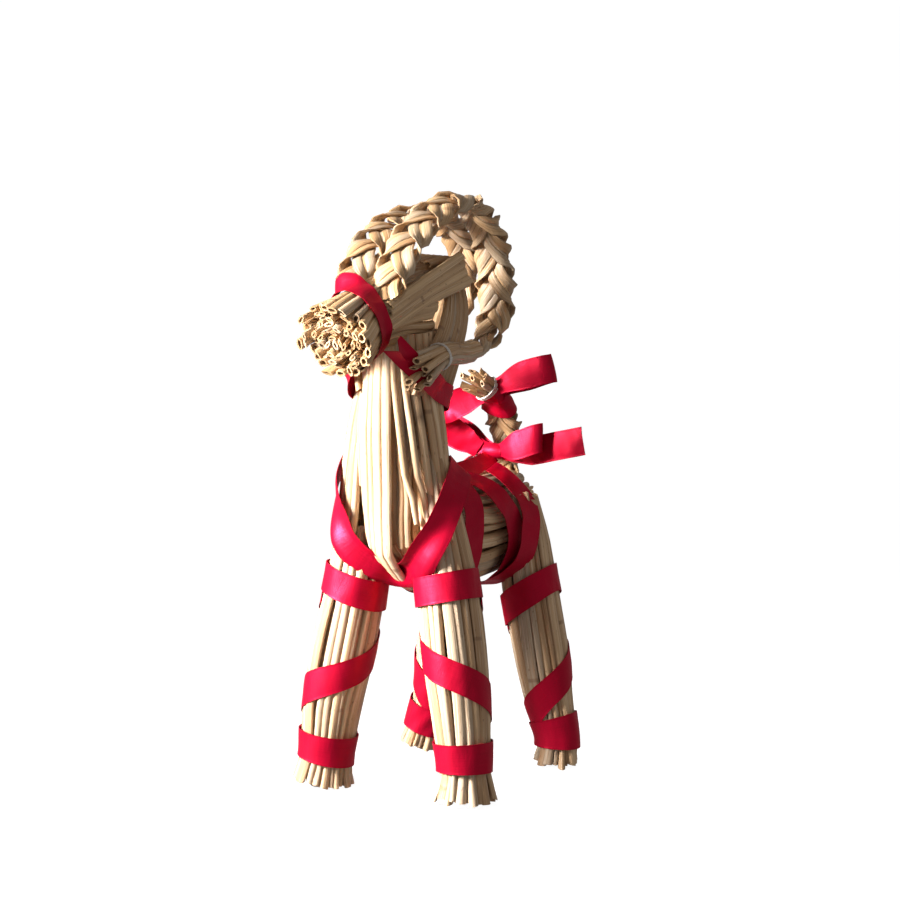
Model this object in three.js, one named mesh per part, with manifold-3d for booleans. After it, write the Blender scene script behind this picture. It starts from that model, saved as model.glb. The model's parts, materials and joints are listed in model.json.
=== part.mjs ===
// A straw goat, about 26 cm tall: bundles of straw bound with satin ribbon, with plaited horns and tail.
// Millimetres, +Z up. The goat faces -Y, and its own left side is +X.
// Each bundle is one fluted solid, a plait is one lobed solid, and each ribbon is one thin solid laid on them.
import * as THREE from "three";
import { mergeVertices } from "three/addons/utils/BufferGeometryUtils.js";
import Module from "manifold-3d";

const wasm = await Module();
wasm.setup();

// ---- Driving dimensions ----

const GAP = 0.3; // between two pieces that touch
const RIBBON_WIDTH = 12.7;
const RIBBON_THICK = 0.7;
const RIBBON_LIFT = 0.65; // from the straw to a ribbon wound round it
const STRAW_RELIEF = 1.0; // depth of the grooves between straws

const LEG_STRAWS = 14; // straws that show round a leg
const BODY_STEPS = 16; // lengths that the torso and neck are drawn in
const STANCE_HALF_WIDTH = 36; // from the middle plane to a sole's centre
const STANCE_HALF_LENGTH = 41.8; // from mid-length to a sole's centre
const HIP_HALF_WIDTH = 22.9;
const HIP_HEIGHT = 92;
const FRONT_HIP_Y = -33;
const SHOULDER_HEIGHT = 184; // where the front legs' straws end against the neck
const RUMP_HEIGHT = 121;

const TORSO_HEIGHT = 108; // height of the torso's axis
const TORSO_HALF_WIDTH = 20.5;
const TORSO_HALF_DEPTH = 25;
const RUMP_Y = 58; // the torso's cut end
const CROOK = { y: -6, z: 141 }; // the inner corner where the neck rises from the back
const CROOK_RADIUS = 4;
const CHEST_DEPTHS = [58, 55, 48, 41]; // from the crook to the outer straws, every 30 degrees

const NECK_Y = -33;
const NECK_RADIUS = 17.5;
const HEAD_RADIUS = 17;
const MUZZLE_HALF_WIDTH = 19.8;
const MUZZLE_HALF_HEIGHT = 17;
const MUZZLE = { y: -84, z: 207.5 };
const MUZZLE_BAND_SHARE = 0.795; // of the head's length from the nape

// Each horn's centre line as x, y, z and half-width: up from the forehead, over, and down behind the head.
// The last three are its unplaited end, which runs forwards to a tie and a flared cut.
const LEFT_HORN = [[8.4, -60, 226.5, 8], [9.3, -45, 243.5, 9.4], [10.2, -22, 254.5, 10],
  [10.8, -3, 257, 10], [11, 12, 250.3, 9.8], [11, 24.5, 236.5, 9.8], [11.2, 29, 219, 10],
  [11.6, 28.5, 204, 8.6], [13.5, 16, 193, 5.6], [17.5, -9, 191.8, 4.3], [22.4, -37, 193.2, 4.3],
  [24.5, -60, 191, 5.5]];
const RIGHT_HORN = [[-8.4, -61, 226, 8], [-9.3, -46, 239.5, 9.4], [-10.2, -27, 247, 10],
  [-10.8, -5, 249.5, 10], [-11, 18, 247, 9.5], [-11, 36.5, 233, 9], [-11.2, 40.5, 216, 7.4],
  [-12, 36, 201, 6], [-13.5, 23, 192.5, 5], [-17.5, 0, 192, 4.3], [-22.4, -28, 194, 4.3],
  [-24, -48, 196, 5.5]];
const HORN_HALF_THICK = 5.4;
const HORN_TUFT_HALF_HEIGHT = 9.5;
const PLAIT_PERIOD = 47; // length in which one strand crosses to the far edge and back

const TAIL_TIE = { y: 44.5, z: 166 };
const TAIL_TIP = { y: 35, z: 175 };
const TAIL_HALF_WIDTH = 8.2;
const TAIL_HALF_THICK = 4.6;

const THREAD_RADIUS = 0.45;
const SLIVER = 0.06; // narrower faces are merged into their neighbours
const RIBBON_SLIVER = 0.2; // the same for ribbon, which stands clear of its neighbours
const ORIGIN_SHIFT = { x: -0.1, y: 11.5 }; // puts the origin under the middle of the goat's box

// ---- Materials ----

const finish = (name, color, roughness, metalness = 0) =>
  new THREE.MeshStandardMaterial({ name, color, roughness, metalness });
const pale = finish("neck_straw", 0xcfa877, 0.6);
const brown = finish("leg_straw", 0xb98f60, 0.65);
const plaited = finish("plaited_straw", 0xc49a66, 0.55);
const satin = finish("red_satin", 0xb0102c, 0.4);
const cotton = finish("white_thread", 0xd8d0c8, 0.8);

// ---- Making solids ----

const vec = (x, y, z) => new THREE.Vector3(x, y, z);

// A closed geometry as a solid, with its faces pointing out.
function solidOf(geometry) {
  geometry.deleteAttribute("normal");
  geometry.deleteAttribute("uv");
  const merged = mergeVertices(geometry, 1e-3);
  const vertProperties = merged.attributes.position.array;
  const triVerts = new Uint32Array(merged.index.array);
  const made = new wasm.Manifold(new wasm.Mesh({ numProp: 3, vertProperties, triVerts }));
  if (made.volume() > 0) return made;
  for (let i = 0; i < triVerts.length; i += 3) {
    [triVerts[i + 1], triVerts[i + 2]] = [triVerts[i + 2], triVerts[i + 1]];
  }
  return new wasm.Manifold(new wasm.Mesh({ numProp: 3, vertProperties, triVerts }));
}

// Moves every vertex of a geometry to place(vertex) and returns the solid.
function shaped(geometry, place) {
  const position = geometry.getAttribute("position");
  for (let i = 0; i < position.count; i++) {
    const moved = place(vec().fromBufferAttribute(position, i));
    position.setXYZ(i, moved.x, moved.y, moved.z);
  }
  return solidOf(geometry);
}

// The largest body of a solid, without the crumbs and slivers that a cut can leave.
function largest(solid, sliver = SLIVER) {
  const bodies = solid.simplify(sliver).decompose();
  return bodies.sort((a, b) => b.volume() - a.volume())[0];
}

const joined = (solids) => solids.reduce((all, one) => all.add(one));

// A smooth run through stations { at, wide, deep, way }: a place and half-widths for each share of its length.
// way is the straw's direction there, where it is not simply the direction of the run.
class Run {
  constructor(stations) {
    this.centres = new THREE.CatmullRomCurve3(stations.map((s) => s.at));
    this.halves = new THREE.CatmullRomCurve3(stations.map((s) => vec(s.wide, s.deep, 0)));
    this.ways = stations[0].way && new THREE.CatmullRomCurve3(stations.map((s) => s.way));
  }

  // Half-width across the goat, half-depth in the goat's length, and the frame's three directions.
  at(share) {
    const t = this.centres.getUtoTmapping(THREE.MathUtils.clamp(share, 0, 1));
    const centre = this.centres.getPoint(t);
    const along = this.ways ? this.ways.getPoint(t).normalize() : this.centres.getTangent(t);
    const across = vec(1, 0, 0).addScaledVector(along, -along.x).normalize();
    const out = vec().crossVectors(across, along);
    const half = this.halves.getPoint(t);
    return { centre, along, across, out, wide: half.x, deep: half.y };
  }

  // The point at angle round the section, lifted off it, and the given part of the way out from the centre.
  point(share, angle, lift = 0, part = 1) {
    const f = this.at(share);
    return f.centre
      .clone()
      .addScaledVector(f.across, part * (f.wide + lift) * Math.cos(angle))
      .addScaledVector(f.out, part * (f.deep + lift) * Math.sin(angle));
  }
}

// A bundle of straw along a run: a cylinder whose side is drawn out to the run's sections, with grooves
// between the straws. With a lift it is the same bundle grown outwards and smooth, for cutting its neighbours.
function bundle(run, straws, steps, lift = 0) {
  return shaped(new THREE.CylinderGeometry(1, 1, 1, 2 * straws, steps), (v) => {
    const angle = Math.atan2(v.z, v.x);
    const part = Math.hypot(v.x, v.z);
    const inGroove = lift === 0 && Math.round((angle / Math.PI) * straws) % 2 !== 0;
    return run.point(v.y + 0.5, angle, part > 0.5 && inGroove ? -STRAW_RELIEF : lift, part);
  });
}

// How far out a three-strand plait reaches at an angle round its section, in half-widths and half-thicknesses.
function plaitReach(phase, angle) {
  const strand = { wide: 0.5, deep: 0.58 };
  const swing = { wide: 0.52, deep: 0.4 };
  const [c, s] = [Math.cos(angle), Math.sin(angle)];
  let reach = 0.6;
  for (let k = 0; k < 3; k++) {
    const turn = phase + (2 * Math.PI * k) / 3;
    const [x, z] = [swing.wide * Math.sin(turn), swing.deep * Math.sin(2 * turn)];
    const a = (c / strand.wide) ** 2 + (s / strand.deep) ** 2;
    const b = (c * x) / strand.wide ** 2 + (s * z) / strand.deep ** 2;
    const rest = (x / strand.wide) ** 2 + (z / strand.deep) ** 2 - 1;
    const root = b * b - a * rest;
    if (root > 0) reach = Math.max(reach, (b + Math.sqrt(root)) / a);
  }
  return reach;
}

// A plait along a run. After the share `plaitedTo` of its length it is a round tuft of straight straw.
function plait(run, sides, steps, plaitedTo, lift = 0) {
  const length = run.centres.getLength();
  return shaped(new THREE.CylinderGeometry(1, 1, 1, sides, steps), (v) => {
    const share = v.y + 0.5;
    const angle = Math.atan2(v.z, v.x);
    const round = THREE.MathUtils.smoothstep(share, plaitedTo - 0.04, plaitedTo + 0.02);
    const reach = plaitReach((2 * Math.PI * share * length) / PLAIT_PERIOD, angle);
    return run.point(share, angle, lift, Math.hypot(v.x, v.z) * THREE.MathUtils.lerp(reach, 1, round));
  });
}

// ---- Runs of the straw bundles ----

const station = (x, y, z, wide, deep = wide) => ({ at: vec(x, y, z), wide, deep });

// A leg leans in from its sole to the hip; `knee` is how far its lower half stands in from a straight line.
function frontLegRun(side, knee) {
  return new Run([
    station(side * STANCE_HALF_WIDTH, -STANCE_HALF_LENGTH, -1, 13),
    station(side * (STANCE_HALF_WIDTH - knee), -STANCE_HALF_LENGTH + 0.6, 13, 11.7),
    station(side * (33.5 - knee), -39.8, 36, 13.5),
    station(side * (28.7 - 0.6 * knee), -36.8, 62, 14.7),
    station(side * HIP_HALF_WIDTH, FRONT_HIP_Y, HIP_HEIGHT, 14),
    station(side * 20.8, -30, 118, 12.6),
    station(side * 19.3, -29.5, 140, 11.8),
    station(side * 16.8, -31, 162, 10),
    station(side * 13, -32.5, SHOULDER_HEIGHT, 7.4),
  ]);
}

function rearLegRun(side, knee) {
  const y = STANCE_HALF_LENGTH;
  return new Run([
    station(side * (STANCE_HALF_WIDTH - 0.3 * knee), y, -1, 10),
    station(side * (STANCE_HALF_WIDTH + 0.7 - knee), y, 12, 9.7),
    station(side * (32 - 1.15 * knee), y, 29, 11.4),
    station(side * (28 - knee), y, 50, 12.9),
    station(side * (HIP_HALF_WIDTH - 0.5 * knee), y - 0.5, 78, 12.8),
    station(side * 20, y - 1.5, 100, 12.2),
    station(side * 18, y - 2.5, RUMP_HEIGHT, 9),
  ]);
}

// The torso lies along Y, bends up at the chest and goes on as the neck: the same straws all the way.
function bodyRun() {
  const section = (turn, y, z, wide, deep) => {
    const way = vec(0, -Math.cos(turn), Math.sin(turn));
    return { ...station(0, y, z, wide, deep), way };
  };
  const bend = CHEST_DEPTHS.map((depth, i) => {
    const turn = (Math.PI / 6) * i;
    const middle = (depth + CROOK_RADIUS) / 2;
    const y = CROOK.y - middle * Math.sin(turn);
    const z = CROOK.z - middle * Math.cos(turn);
    return section(turn, y, z, TORSO_HALF_WIDTH + 0.4 * i, (depth - CROOK_RADIUS) / 2);
  });
  const upright = Math.PI / 2;
  return new Run([
    section(0, RUMP_Y, TORSO_HEIGHT + 1, 18, 21.5),
    section(0, 36, TORSO_HEIGHT, TORSO_HALF_WIDTH, 24),
    section(0, 14, TORSO_HEIGHT, TORSO_HALF_WIDTH, TORSO_HALF_DEPTH),
    ...bend,
    section(upright, NECK_Y + 1, 162, 19.5, 18.5),
    section(upright, NECK_Y, 182, NECK_RADIUS, NECK_RADIUS),
    section(upright, NECK_Y, 206, NECK_RADIUS - 1, NECK_RADIUS - 1),
  ]);
}

function headRun() {
  return new Run([
    station(0, 4.5, 219.5, 8, 8.5),
    station(0, -1, 218.5, 14, 15),
    station(0, -25, 214.8, HEAD_RADIUS, 19),
    station(0, -50, 214.5, 15.5, 16.8),
    station(0, MUZZLE.y + 18, 212, 13.6, 16.2),
    station(0, MUZZLE.y, MUZZLE.z, MUZZLE_HALF_WIDTH, MUZZLE_HALF_HEIGHT),
  ]);
}

// Straw left over from plaiting the left horn, lying back along the head with its cut end free.
function spareRun() {
  return new Run([station(15, -58, 219.3, 3.5), station(15.6, -36, 223, 5), station(14.2, -8, 227.5, 5.6)]);
}

// A horn is plaited as far as the bottom of its hoop. Its straws run on in a round tuft, flared at the cut.
function hornRun(path) {
  const last = path.length - 1;
  return new Run(
    path.map(([x, y, z, wide], i) => {
      const deep = i === last ? HORN_TUFT_HALF_HEIGHT : Math.min(wide, HORN_HALF_THICK);
      return station(x, y, z, wide, deep);
    }),
  );
}

function tailRun() {
  return new Run([
    station(0, 53, 124, 7, 4.5),
    station(0, 60.5, 138, TAIL_HALF_WIDTH, TAIL_HALF_THICK),
    station(0, 56, 151, TAIL_HALF_WIDTH, TAIL_HALF_THICK),
    station(0, TAIL_TIE.y, TAIL_TIE.z, 4.4),
    station(0, TAIL_TIP.y, TAIL_TIP.z, 8.5, 6),
  ]);
}

const runs = {
  body: bodyRun(),
  head: headRun(),
  spare: spareRun(),
  tail: tailRun(),
  front: { left: frontLegRun(1, 0), right: frontLegRun(-1, 2) },
  rear: { left: rearLegRun(1, 0), right: rearLegRun(-1, 6) },
  horn: { left: hornRun(LEFT_HORN), right: hornRun(RIGHT_HORN) },
};

// ---- Straw solids ----

const ground = solidOf(new THREE.BoxGeometry(300, 300, 50).translate(0, 0, -25));
const bodyBundle = (lift) => bundle(runs.body, 16, BODY_STEPS, lift);
const headBundle = (lift) => bundle(runs.head, 14, 9, lift);
const legBundle = (run, lift) => bundle(run, LEG_STRAWS, 10, lift);
const hornPlait = (run, lift) => plait(run, 10, 40, 0.7, lift);
const tailPlait = (lift) => plait(runs.tail, 12, 16, 0.82, lift);

const bodyClear = bundle(runs.body, 10, BODY_STEPS, 2.2 * GAP);
const headClear = bundle(runs.head, 10, 9, 2 * GAP);
const tailClear = tailPlait(GAP);
const hornsClear = hornPlait(runs.horn.left, GAP).add(hornPlait(runs.horn.right, GAP));

const legSolid = (run) => largest(legBundle(run).subtract(bodyClear).subtract(ground));
const hornSolid = (run) => largest(hornPlait(run).subtract(headClear).subtract(bodyClear));

const straw = {
  torso_and_neck: [largest(bodyBundle().subtract(headClear)), pale],
  head: [largest(headBundle().add(bundle(runs.spare, 6, 3))), plaited],
  front_left_leg: [legSolid(runs.front.left), brown],
  front_right_leg: [legSolid(runs.front.right), brown],
  rear_left_leg: [legSolid(runs.rear.left), brown],
  rear_right_leg: [legSolid(runs.rear.right), brown],
  left_horn: [hornSolid(runs.horn.left), plaited],
  right_horn: [hornSolid(runs.horn.right), plaited],
  tail: [largest(tailPlait().subtract(bodyClear)), plaited],
};

// ---- Ribbons ----

// A closed band of rectangular section: place(turn, across, out) gives each corner's point,
// with turn from 0 to 1 round the loop, and across and out from -0.5 to 0.5 in its section.
function loop(segments, place) {
  const corners = [[1, -0.5], [2, -0.5], [2, 0.5], [1, 0.5], [1, -0.5]];
  const profile = corners.map(([x, y]) => new THREE.Vector2(x, y));
  return shaped(new THREE.LatheGeometry(profile, segments), (v) => {
    const turn = THREE.MathUtils.euclideanModulo(Math.atan2(v.x, v.z) / (2 * Math.PI), 1);
    return place(turn, v.y, Math.hypot(v.x, v.z) - 1.5);
  });
}

// A band round a bundle at a share of its length, raised on one side of the bundle by `tilt` of that length.
function bandOn(run, share, tilt, straws) {
  const width = RIBBON_WIDTH / run.centres.getLength();
  return loop(straws, (turn, across, out) => {
    const angle = 2 * Math.PI * turn;
    const lift = RIBBON_LIFT + RIBBON_THICK * (out + 0.5);
    return run.point(share + width * across + tilt * Math.cos(angle), angle, lift);
  });
}

// A ribbon that winds down a leg between two shares of its length, from a straw and so many turns round.
function windingOn(run, { from, to, startStraw, turns }) {
  const width = (1.1 * RIBBON_WIDTH) / run.centres.getLength();
  const segments = Math.round(Math.abs(turns) * LEG_STRAWS);
  return shaped(new THREE.BoxGeometry(1, 1, 1, segments, 1, 1), (v) => {
    const way = v.x + 0.5;
    const angle = 2 * Math.PI * (startStraw / LEG_STRAWS + turns * way);
    const lift = RIBBON_LIFT + 0.06 + (RIBBON_THICK - 0.12) * (v.z + 0.5);
    return run.point(THREE.MathUtils.lerp(from, to, way) + width * v.y, angle, lift);
  });
}

function legRibbon(run, { top, ankle, tilt, winding }) {
  const bands = [bandOn(run, top, tilt, LEG_STRAWS), bandOn(run, ankle, -0.003, LEG_STRAWS)];
  return largest(joined([...bands, windingOn(run, winding)]).subtract(bodyClear));
}

// A strip of ribbon along a curve. across(u) is the direction of its width, width(u) its width.
function strip(curve, across, width, segments, closed = false) {
  const place = (u, a, o) => {
    const along = curve.getTangent(u);
    const side = across(u).addScaledVector(along, -across(u).dot(along)).normalize();
    const normal = vec().crossVectors(along, side);
    return curve
      .getPoint(u)
      .addScaledVector(side, a * width(u))
      .addScaledVector(normal, o * RIBBON_THICK);
  };
  if (closed) return loop(segments, place);
  return shaped(new THREE.BoxGeometry(1, 1, 1, segments, 1, 1), (v) => place(v.x + 0.5, v.y, v.z));
}

// A ribbon pulled tight round the goat through points on the straw, its face turned away from `middle`.
// It is thick enough to reach into the straw, which is then cut out of it.
function tautLoop(points, middle, thick = 4, segments = 18) {
  const curve = closedCurve(...points);
  return loop(segments, (turn, across, out) => {
    const centre = curve.getPoint(turn);
    const along = curve.getTangent(turn);
    const outward = centre.clone().sub(middle);
    outward.addScaledVector(along, -outward.dot(along)).normalize();
    const side = vec().crossVectors(along, outward);
    return centre.addScaledVector(side, across * RIBBON_WIDTH).addScaledVector(outward, out * thick);
  });
}

const closedCurve = (...points) => new THREE.CatmullRomCurve3(points.map((p) => vec(...p)), true);
const openCurve = (...points) => new THREE.CatmullRomCurve3(points.map((p) => vec(...p)));
// Points from the middle of the back down the left side to the middle of the belly, and up the right side.
const bothSides = (points) => [...points, ...points.slice(1, -1).reverse().map(([x, y, z]) => [-x, y, z])];

const strawClear = joined([
  bundle(runs.body, 8, BODY_STEPS, 2.6 * GAP),
  bundle(runs.front.left, 7, 10, 2.4 * GAP),
  bundle(runs.front.right, 7, 10, 2.4 * GAP),
  bundle(runs.rear.left, 7, 10, 2.4 * GAP),
  bundle(runs.rear.right, 7, 10, 2.4 * GAP),
]);

// The harness: one loop before the front legs, one behind them, two to the rump, and a length along the back.
function harnessRibbon() {
  const chest = bothSides([[0, 1, 136], [20, -9, 139], [30, -25, 138], [30, -38, 125],
    [21, -44, 113], [12, -45.5, 101], [0, -41, 91.5]]);
  const girth = bothSides([[0, 0, 135.5], [17, -4, 129.5], [24, -8, 117],
    [22, -10, 98], [12, -10, 85], [0, -10, 82]]);
  const slant = bothSides([[0, 3, 134.8], [17, 14, 126.5], [24, 27, 112],
    [24, 30, 98], [14, 25, 85.5], [0, 24, 83]]);
  const rump = bothSides([[0, 44, 132.5], [15.5, 42.5, 124.5], [28, 33, 113], [30.5, 30.5, 100],
    [24.5, 26, 88], [13, 21.5, 83.5], [0, 21, 82.5]]);
  const loops = [
    tautLoop(chest, vec(0, -20, 116)),
    tautLoop(girth, vec(0, -6, 108)),
    tautLoop(slant, vec(0, 20, 108)),
    tautLoop(rump, vec(0, 32, 106)),
  ];
  const onBack = strip(
    openCurve([0, -1, 135.2], [1, 20, 134.6], [2, 46, 134.6]),
    () => vec(1, 0, 0),
    () => RIBBON_WIDTH * 0.8,
    6,
  );
  const legRibbonsClear = joined(Object.values(legRibbons).map(([solid]) => solid));
  const laid = joined([...loops, onBack]).subtract(strawClear).subtract(tailClear);
  return largest(laid.subtract(legRibbonsClear), RIBBON_SLIVER);
}

const pinched = (u) => RIBBON_WIDTH * (0.42 + 0.58 * Math.sin(Math.PI * u));
const upright = () => vec(0, 0.1, 1);
const onSide = () => vec(0, 1, 0.1);

// The bow on the back: a knot, two loops, an end that stands out to the left, and one down the right side.
function backBow() {
  const knot = solidOf(new THREE.IcosahedronGeometry(4.4, 1).scale(1, 0.9, 0.75).translate(2, 44, 138.9));
  const leftLoop = closedCurve([4, 44, 139.5], [15, 40, 143], [26, 41, 147],
    [27.5, 44, 147.4], [15, 46.5, 143]);
  const rightLoop = closedCurve([-1, 45.4, 139.8], [-13, 47.2, 142], [-28, 47, 148],
    [-30, 50, 148.5], [-14, 51, 143]);
  const leftEnd = openCurve([3, 45, 138.5], [18, 46.8, 140], [33, 46.5, 143.8], [47, 45, 147.5]);
  const rightEnd = openCurve([-1, 47.5, 137], [-12, 50.5, 134.5], [-21, 51.5, 125.5],
    [-24.5, 51, 112], [-26, 51, 100]);
  const spread = (u) => RIBBON_WIDTH * Math.min(1, 0.45 + 1.6 * u);
  const bow = joined([
    knot,
    strip(leftLoop, upright, pinched, 12, true),
    strip(rightLoop, upright, pinched, 12, true),
    strip(leftEnd, upright, spread, 6),
    strip(rightEnd, onSide, spread, 8),
  ]);
  return largest(bow.subtract(strawClear).subtract(tailClear), RIBBON_SLIVER);
}

function tailRibbon() {
  const wrap = bandOn(runs.tail, 0.7, 0, 12);
  const leftLoop = closedCurve([5, 46, 163], [18, 43, 170], [30.5, 45.5, 176],
    [31.5, 49.5, 176.5], [18, 51, 170]);
  const rightLoop = closedCurve([-5, 45, 161], [-12, 41, 158], [-19, 39, 153.5],
    [-20, 42, 153], [-12, 45, 157]);
  const loops = [leftLoop, rightLoop].map((curve) => strip(curve, upright, pinched, 12, true));
  return largest(joined([wrap, ...loops]).subtract(tailClear), RIBBON_SLIVER);
}

// The muzzle's band, and the strap that slants down from its sides and round the back of the neck.
function muzzleRibbon() {
  const band = bandOn(runs.head, MUZZLE_BAND_SHARE, 0, 14);
  const half = [[14.4, -67, 207], [17.6, -50, 190.5], [20.8, -33, 177.5], [15.5, -16.5, 171.5]];
  const mirrored = half.map(([x, y, z]) => [-x, y, z]).reverse();
  const path = openCurve(...half, [0, -13, 169.5], ...mirrored);
  const across = (u) => vec(0, 0.8 * Math.abs(2 * u - 1), 1);
  const strap = strip(path, across, () => RIBBON_WIDTH * 0.9, 18);
  const laid = joined([band, strap]).subtract(headClear).subtract(strawClear);
  return largest(laid.subtract(hornsClear), RIBBON_SLIVER);
}

const legRibbons = {
  front_left_leg_ribbon: [
    legRibbon(runs.front.left, {
      top: 0.5,
      ankle: 0.108,
      tilt: 0.004,
      winding: { from: 0.485, to: 0.1, startStraw: 13, turns: -1.5 },
    }),
    satin,
  ],
  front_right_leg_ribbon: [
    legRibbon(runs.front.right, {
      top: 0.485,
      ankle: 0.092,
      tilt: -0.012,
      winding: { from: 0.46, to: 0.082, startStraw: 6, turns: 1.5 },
    }),
    satin,
  ],
  rear_left_leg_ribbon: [
    legRibbon(runs.rear.left, {
      top: 0.635,
      ankle: 0.122,
      tilt: 0.055,
      winding: { from: 0.57, to: 0.17, startStraw: 6, turns: 1 },
    }),
    satin,
  ],
  rear_right_leg_ribbon: [
    legRibbon(runs.rear.right, {
      top: 0.635,
      ankle: 0.122,
      tilt: -0.055,
      winding: { from: 0.57, to: 0.17, startStraw: 1, turns: -1 },
    }),
    satin,
  ],
};

const ribbons = {
  muzzle_ribbon: [muzzleRibbon(), satin],
  harness_ribbon: [harnessRibbon(), satin],
  back_bow: [backBow(), satin],
  tail_ribbon: [tailRibbon(), satin],
  ...legRibbons,
};

// ---- Threads ----

// A ring of thread round a run at a share of its length.
function threadRing(run, share) {
  const f = run.at(share);
  const turned = new THREE.Matrix4().makeBasis(f.across, f.out, f.along).setPosition(f.centre);
  const radius = Math.max(f.wide, f.deep) + THREAD_RADIUS + GAP;
  return solidOf(new THREE.TorusGeometry(radius, THREAD_RADIUS, 4, 14).applyMatrix4(turned));
}

const threads = {
  left_horn_thread: [threadRing(runs.horn.left, 0.9), cotton],
  right_horn_thread: [threadRing(runs.horn.right, 0.9), cotton],
  tail_thread: [threadRing(runs.tail, 0.84), cotton],
};

// ---- The goat ----

function meshOf(name, [solid, material]) {
  const { vertProperties, triVerts } = solid.getMesh();
  const geometry = new THREE.BufferGeometry()
    .setAttribute("position", new THREE.BufferAttribute(vertProperties, 3))
    .setIndex(new THREE.BufferAttribute(triVerts, 1));
  geometry.computeVertexNormals();
  const mesh = new THREE.Mesh(geometry, material.clone());
  mesh.name = name;
  return mesh;
}

const goat = new THREE.Group();
for (const [name, made] of Object.entries({ ...straw, ...ribbons, ...threads })) {
  goat.add(meshOf(name, made));
}
goat.position.set(ORIGIN_SHIFT.x, ORIGIN_SHIFT.y, 0);

export default goat;
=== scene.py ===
"""The looks of a straw goat: every straw, plait, ribbon and thread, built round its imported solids.

Sizes are in millimetres in the goat's own frame, whose origin is on the ground in the middle of the four
soles: +X is the goat's left, -Y the way it faces and +Z up. Stance turns them into metres in the shared
frame.
"""
import json
import logging
import math
from dataclasses import dataclass
from enum import Enum
from typing import Any, Callable, Iterable, Optional, Sequence, Union

import bpy
import numpy as np
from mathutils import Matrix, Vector
from mathutils.bvhtree import BVHTree


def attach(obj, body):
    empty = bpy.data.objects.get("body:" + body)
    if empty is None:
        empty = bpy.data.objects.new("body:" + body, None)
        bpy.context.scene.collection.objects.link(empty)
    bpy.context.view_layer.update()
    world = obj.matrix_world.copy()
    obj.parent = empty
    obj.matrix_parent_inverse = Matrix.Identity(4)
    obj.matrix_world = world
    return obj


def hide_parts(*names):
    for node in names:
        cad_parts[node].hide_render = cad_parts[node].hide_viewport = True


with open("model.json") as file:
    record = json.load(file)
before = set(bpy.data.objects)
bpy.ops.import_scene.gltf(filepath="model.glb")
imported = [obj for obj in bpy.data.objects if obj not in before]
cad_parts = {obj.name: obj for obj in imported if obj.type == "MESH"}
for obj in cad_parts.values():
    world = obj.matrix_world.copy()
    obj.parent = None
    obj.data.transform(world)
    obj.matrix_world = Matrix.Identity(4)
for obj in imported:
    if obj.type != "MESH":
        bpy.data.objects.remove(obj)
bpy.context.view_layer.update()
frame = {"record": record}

LOG = logging.getLogger("straw_goat")
Array = np.ndarray
Colour = tuple[float, float, float]
Point = tuple[float, float, float]

MM = 0.001
BODY = "root"
STRAW_ATTRIBUTE = "straw"
UV_MAP = "UVMap"


class Side(Enum):
    """The goat's own left and right, with the sign of X on that side."""

    LEFT = 1
    RIGHT = -1


class Slot(Enum):
    """The record's material slots."""

    PALE = "neck_straw"
    LEG = "leg_straw"
    PLAITED = "plaited_straw"
    SATIN = "red_satin"
    THREAD = "white_thread"


# ---- Where things are ----


@dataclass(frozen=True)
class Stance:
    """The place in the shared frame, in metres, of the middle of the four soles."""

    x: float
    y: float

    @classmethod
    def from_record(cls, record: dict[str, Any]) -> "Stance":
        """Reads the stance from the soles' mounts.

        Args:
            record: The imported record.

        Returns:
            The stance.
        """
        at = {mount["name"]: mount["pos_m"] for mount in record["mounts"]}
        left, right, rear = (at[name] for name in ("front_left_sole", "front_right_sole", "rear_left_sole"))
        return cls((left[0] + right[0]) / 2, (left[1] + rear[1]) / 2)

    def metres(self, points: Array) -> Array:
        """Turns points in millimetres from the stance's middle into metres in the shared frame.

        Args:
            points: Rows of x, y, z.

        Returns:
            The same rows in metres.
        """
        return np.asarray(points, float) * MM + np.array([self.x, self.y, 0.0])

    def millimetres(self, points: Array) -> Array:
        """Turns points in metres in the shared frame into millimetres from the stance's middle.

        Args:
            points: Rows of x, y, z.

        Returns:
            The same rows in millimetres.
        """
        return (np.asarray(points, float) - np.array([self.x, self.y, 0.0])) / MM


STANCE = Stance.from_record(frame["record"])


def unit(vectors: Array) -> Array:
    """Scales each row to length 1.

    Args:
        vectors: Rows of x, y, z.

    Returns:
        The rows, each of length 1.
    """
    return vectors / np.maximum(np.linalg.norm(vectors, axis=-1, keepdims=True), 1e-9)


def smoothstep(x: Array, low: float, high: float) -> Array:
    """A smooth step from 0 at low to 1 at high.

    Args:
        x: The values to map.
        low: Where the step starts.
        high: Where it ends.

    Returns:
        Values from 0 to 1.
    """
    t = np.clip((np.asarray(x, float) - low) / (high - low), 0, 1)
    return t * t * (3 - 2 * t)


def spline(points: Array, t: Array) -> Array:
    """Samples a centripetal Catmull-Rom curve.

    Args:
        points: Rows that the curve passes through.
        t: Parameters from 0 at the first row to 1 at the last.

    Returns:
        One row for each parameter.
    """
    rows = np.asarray(points, float)
    padded = np.vstack([2 * rows[0] - rows[1], rows, 2 * rows[-1] - rows[-2]])
    place = np.clip(t, 0, 1) * (len(rows) - 1)
    start = np.minimum(place.astype(int), len(rows) - 2)
    w = (place - start)[:, None]
    p0, p1, p2, p3 = (padded[start + k] for k in range(4))
    d0, d1, d2 = (
        np.maximum(np.sqrt(np.linalg.norm(b - a, axis=1)), 1e-3)[:, None]
        for a, b in ((p0, p1), (p1, p2), (p2, p3))
    )
    m1 = ((p1 - p0) / d0 - (p2 - p0) / (d0 + d1) + (p2 - p1) / d1) * d1
    m2 = ((p2 - p1) / d1 - (p3 - p1) / (d1 + d2) + (p3 - p2) / d2) * d1
    w2, w3 = w * w, w * w * w
    return (2 * w3 - 3 * w2 + 1) * p1 + (w3 - 2 * w2 + w) * m1 + (3 * w2 - 2 * w3) * p2 + (w3 - w2) * m2


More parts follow.
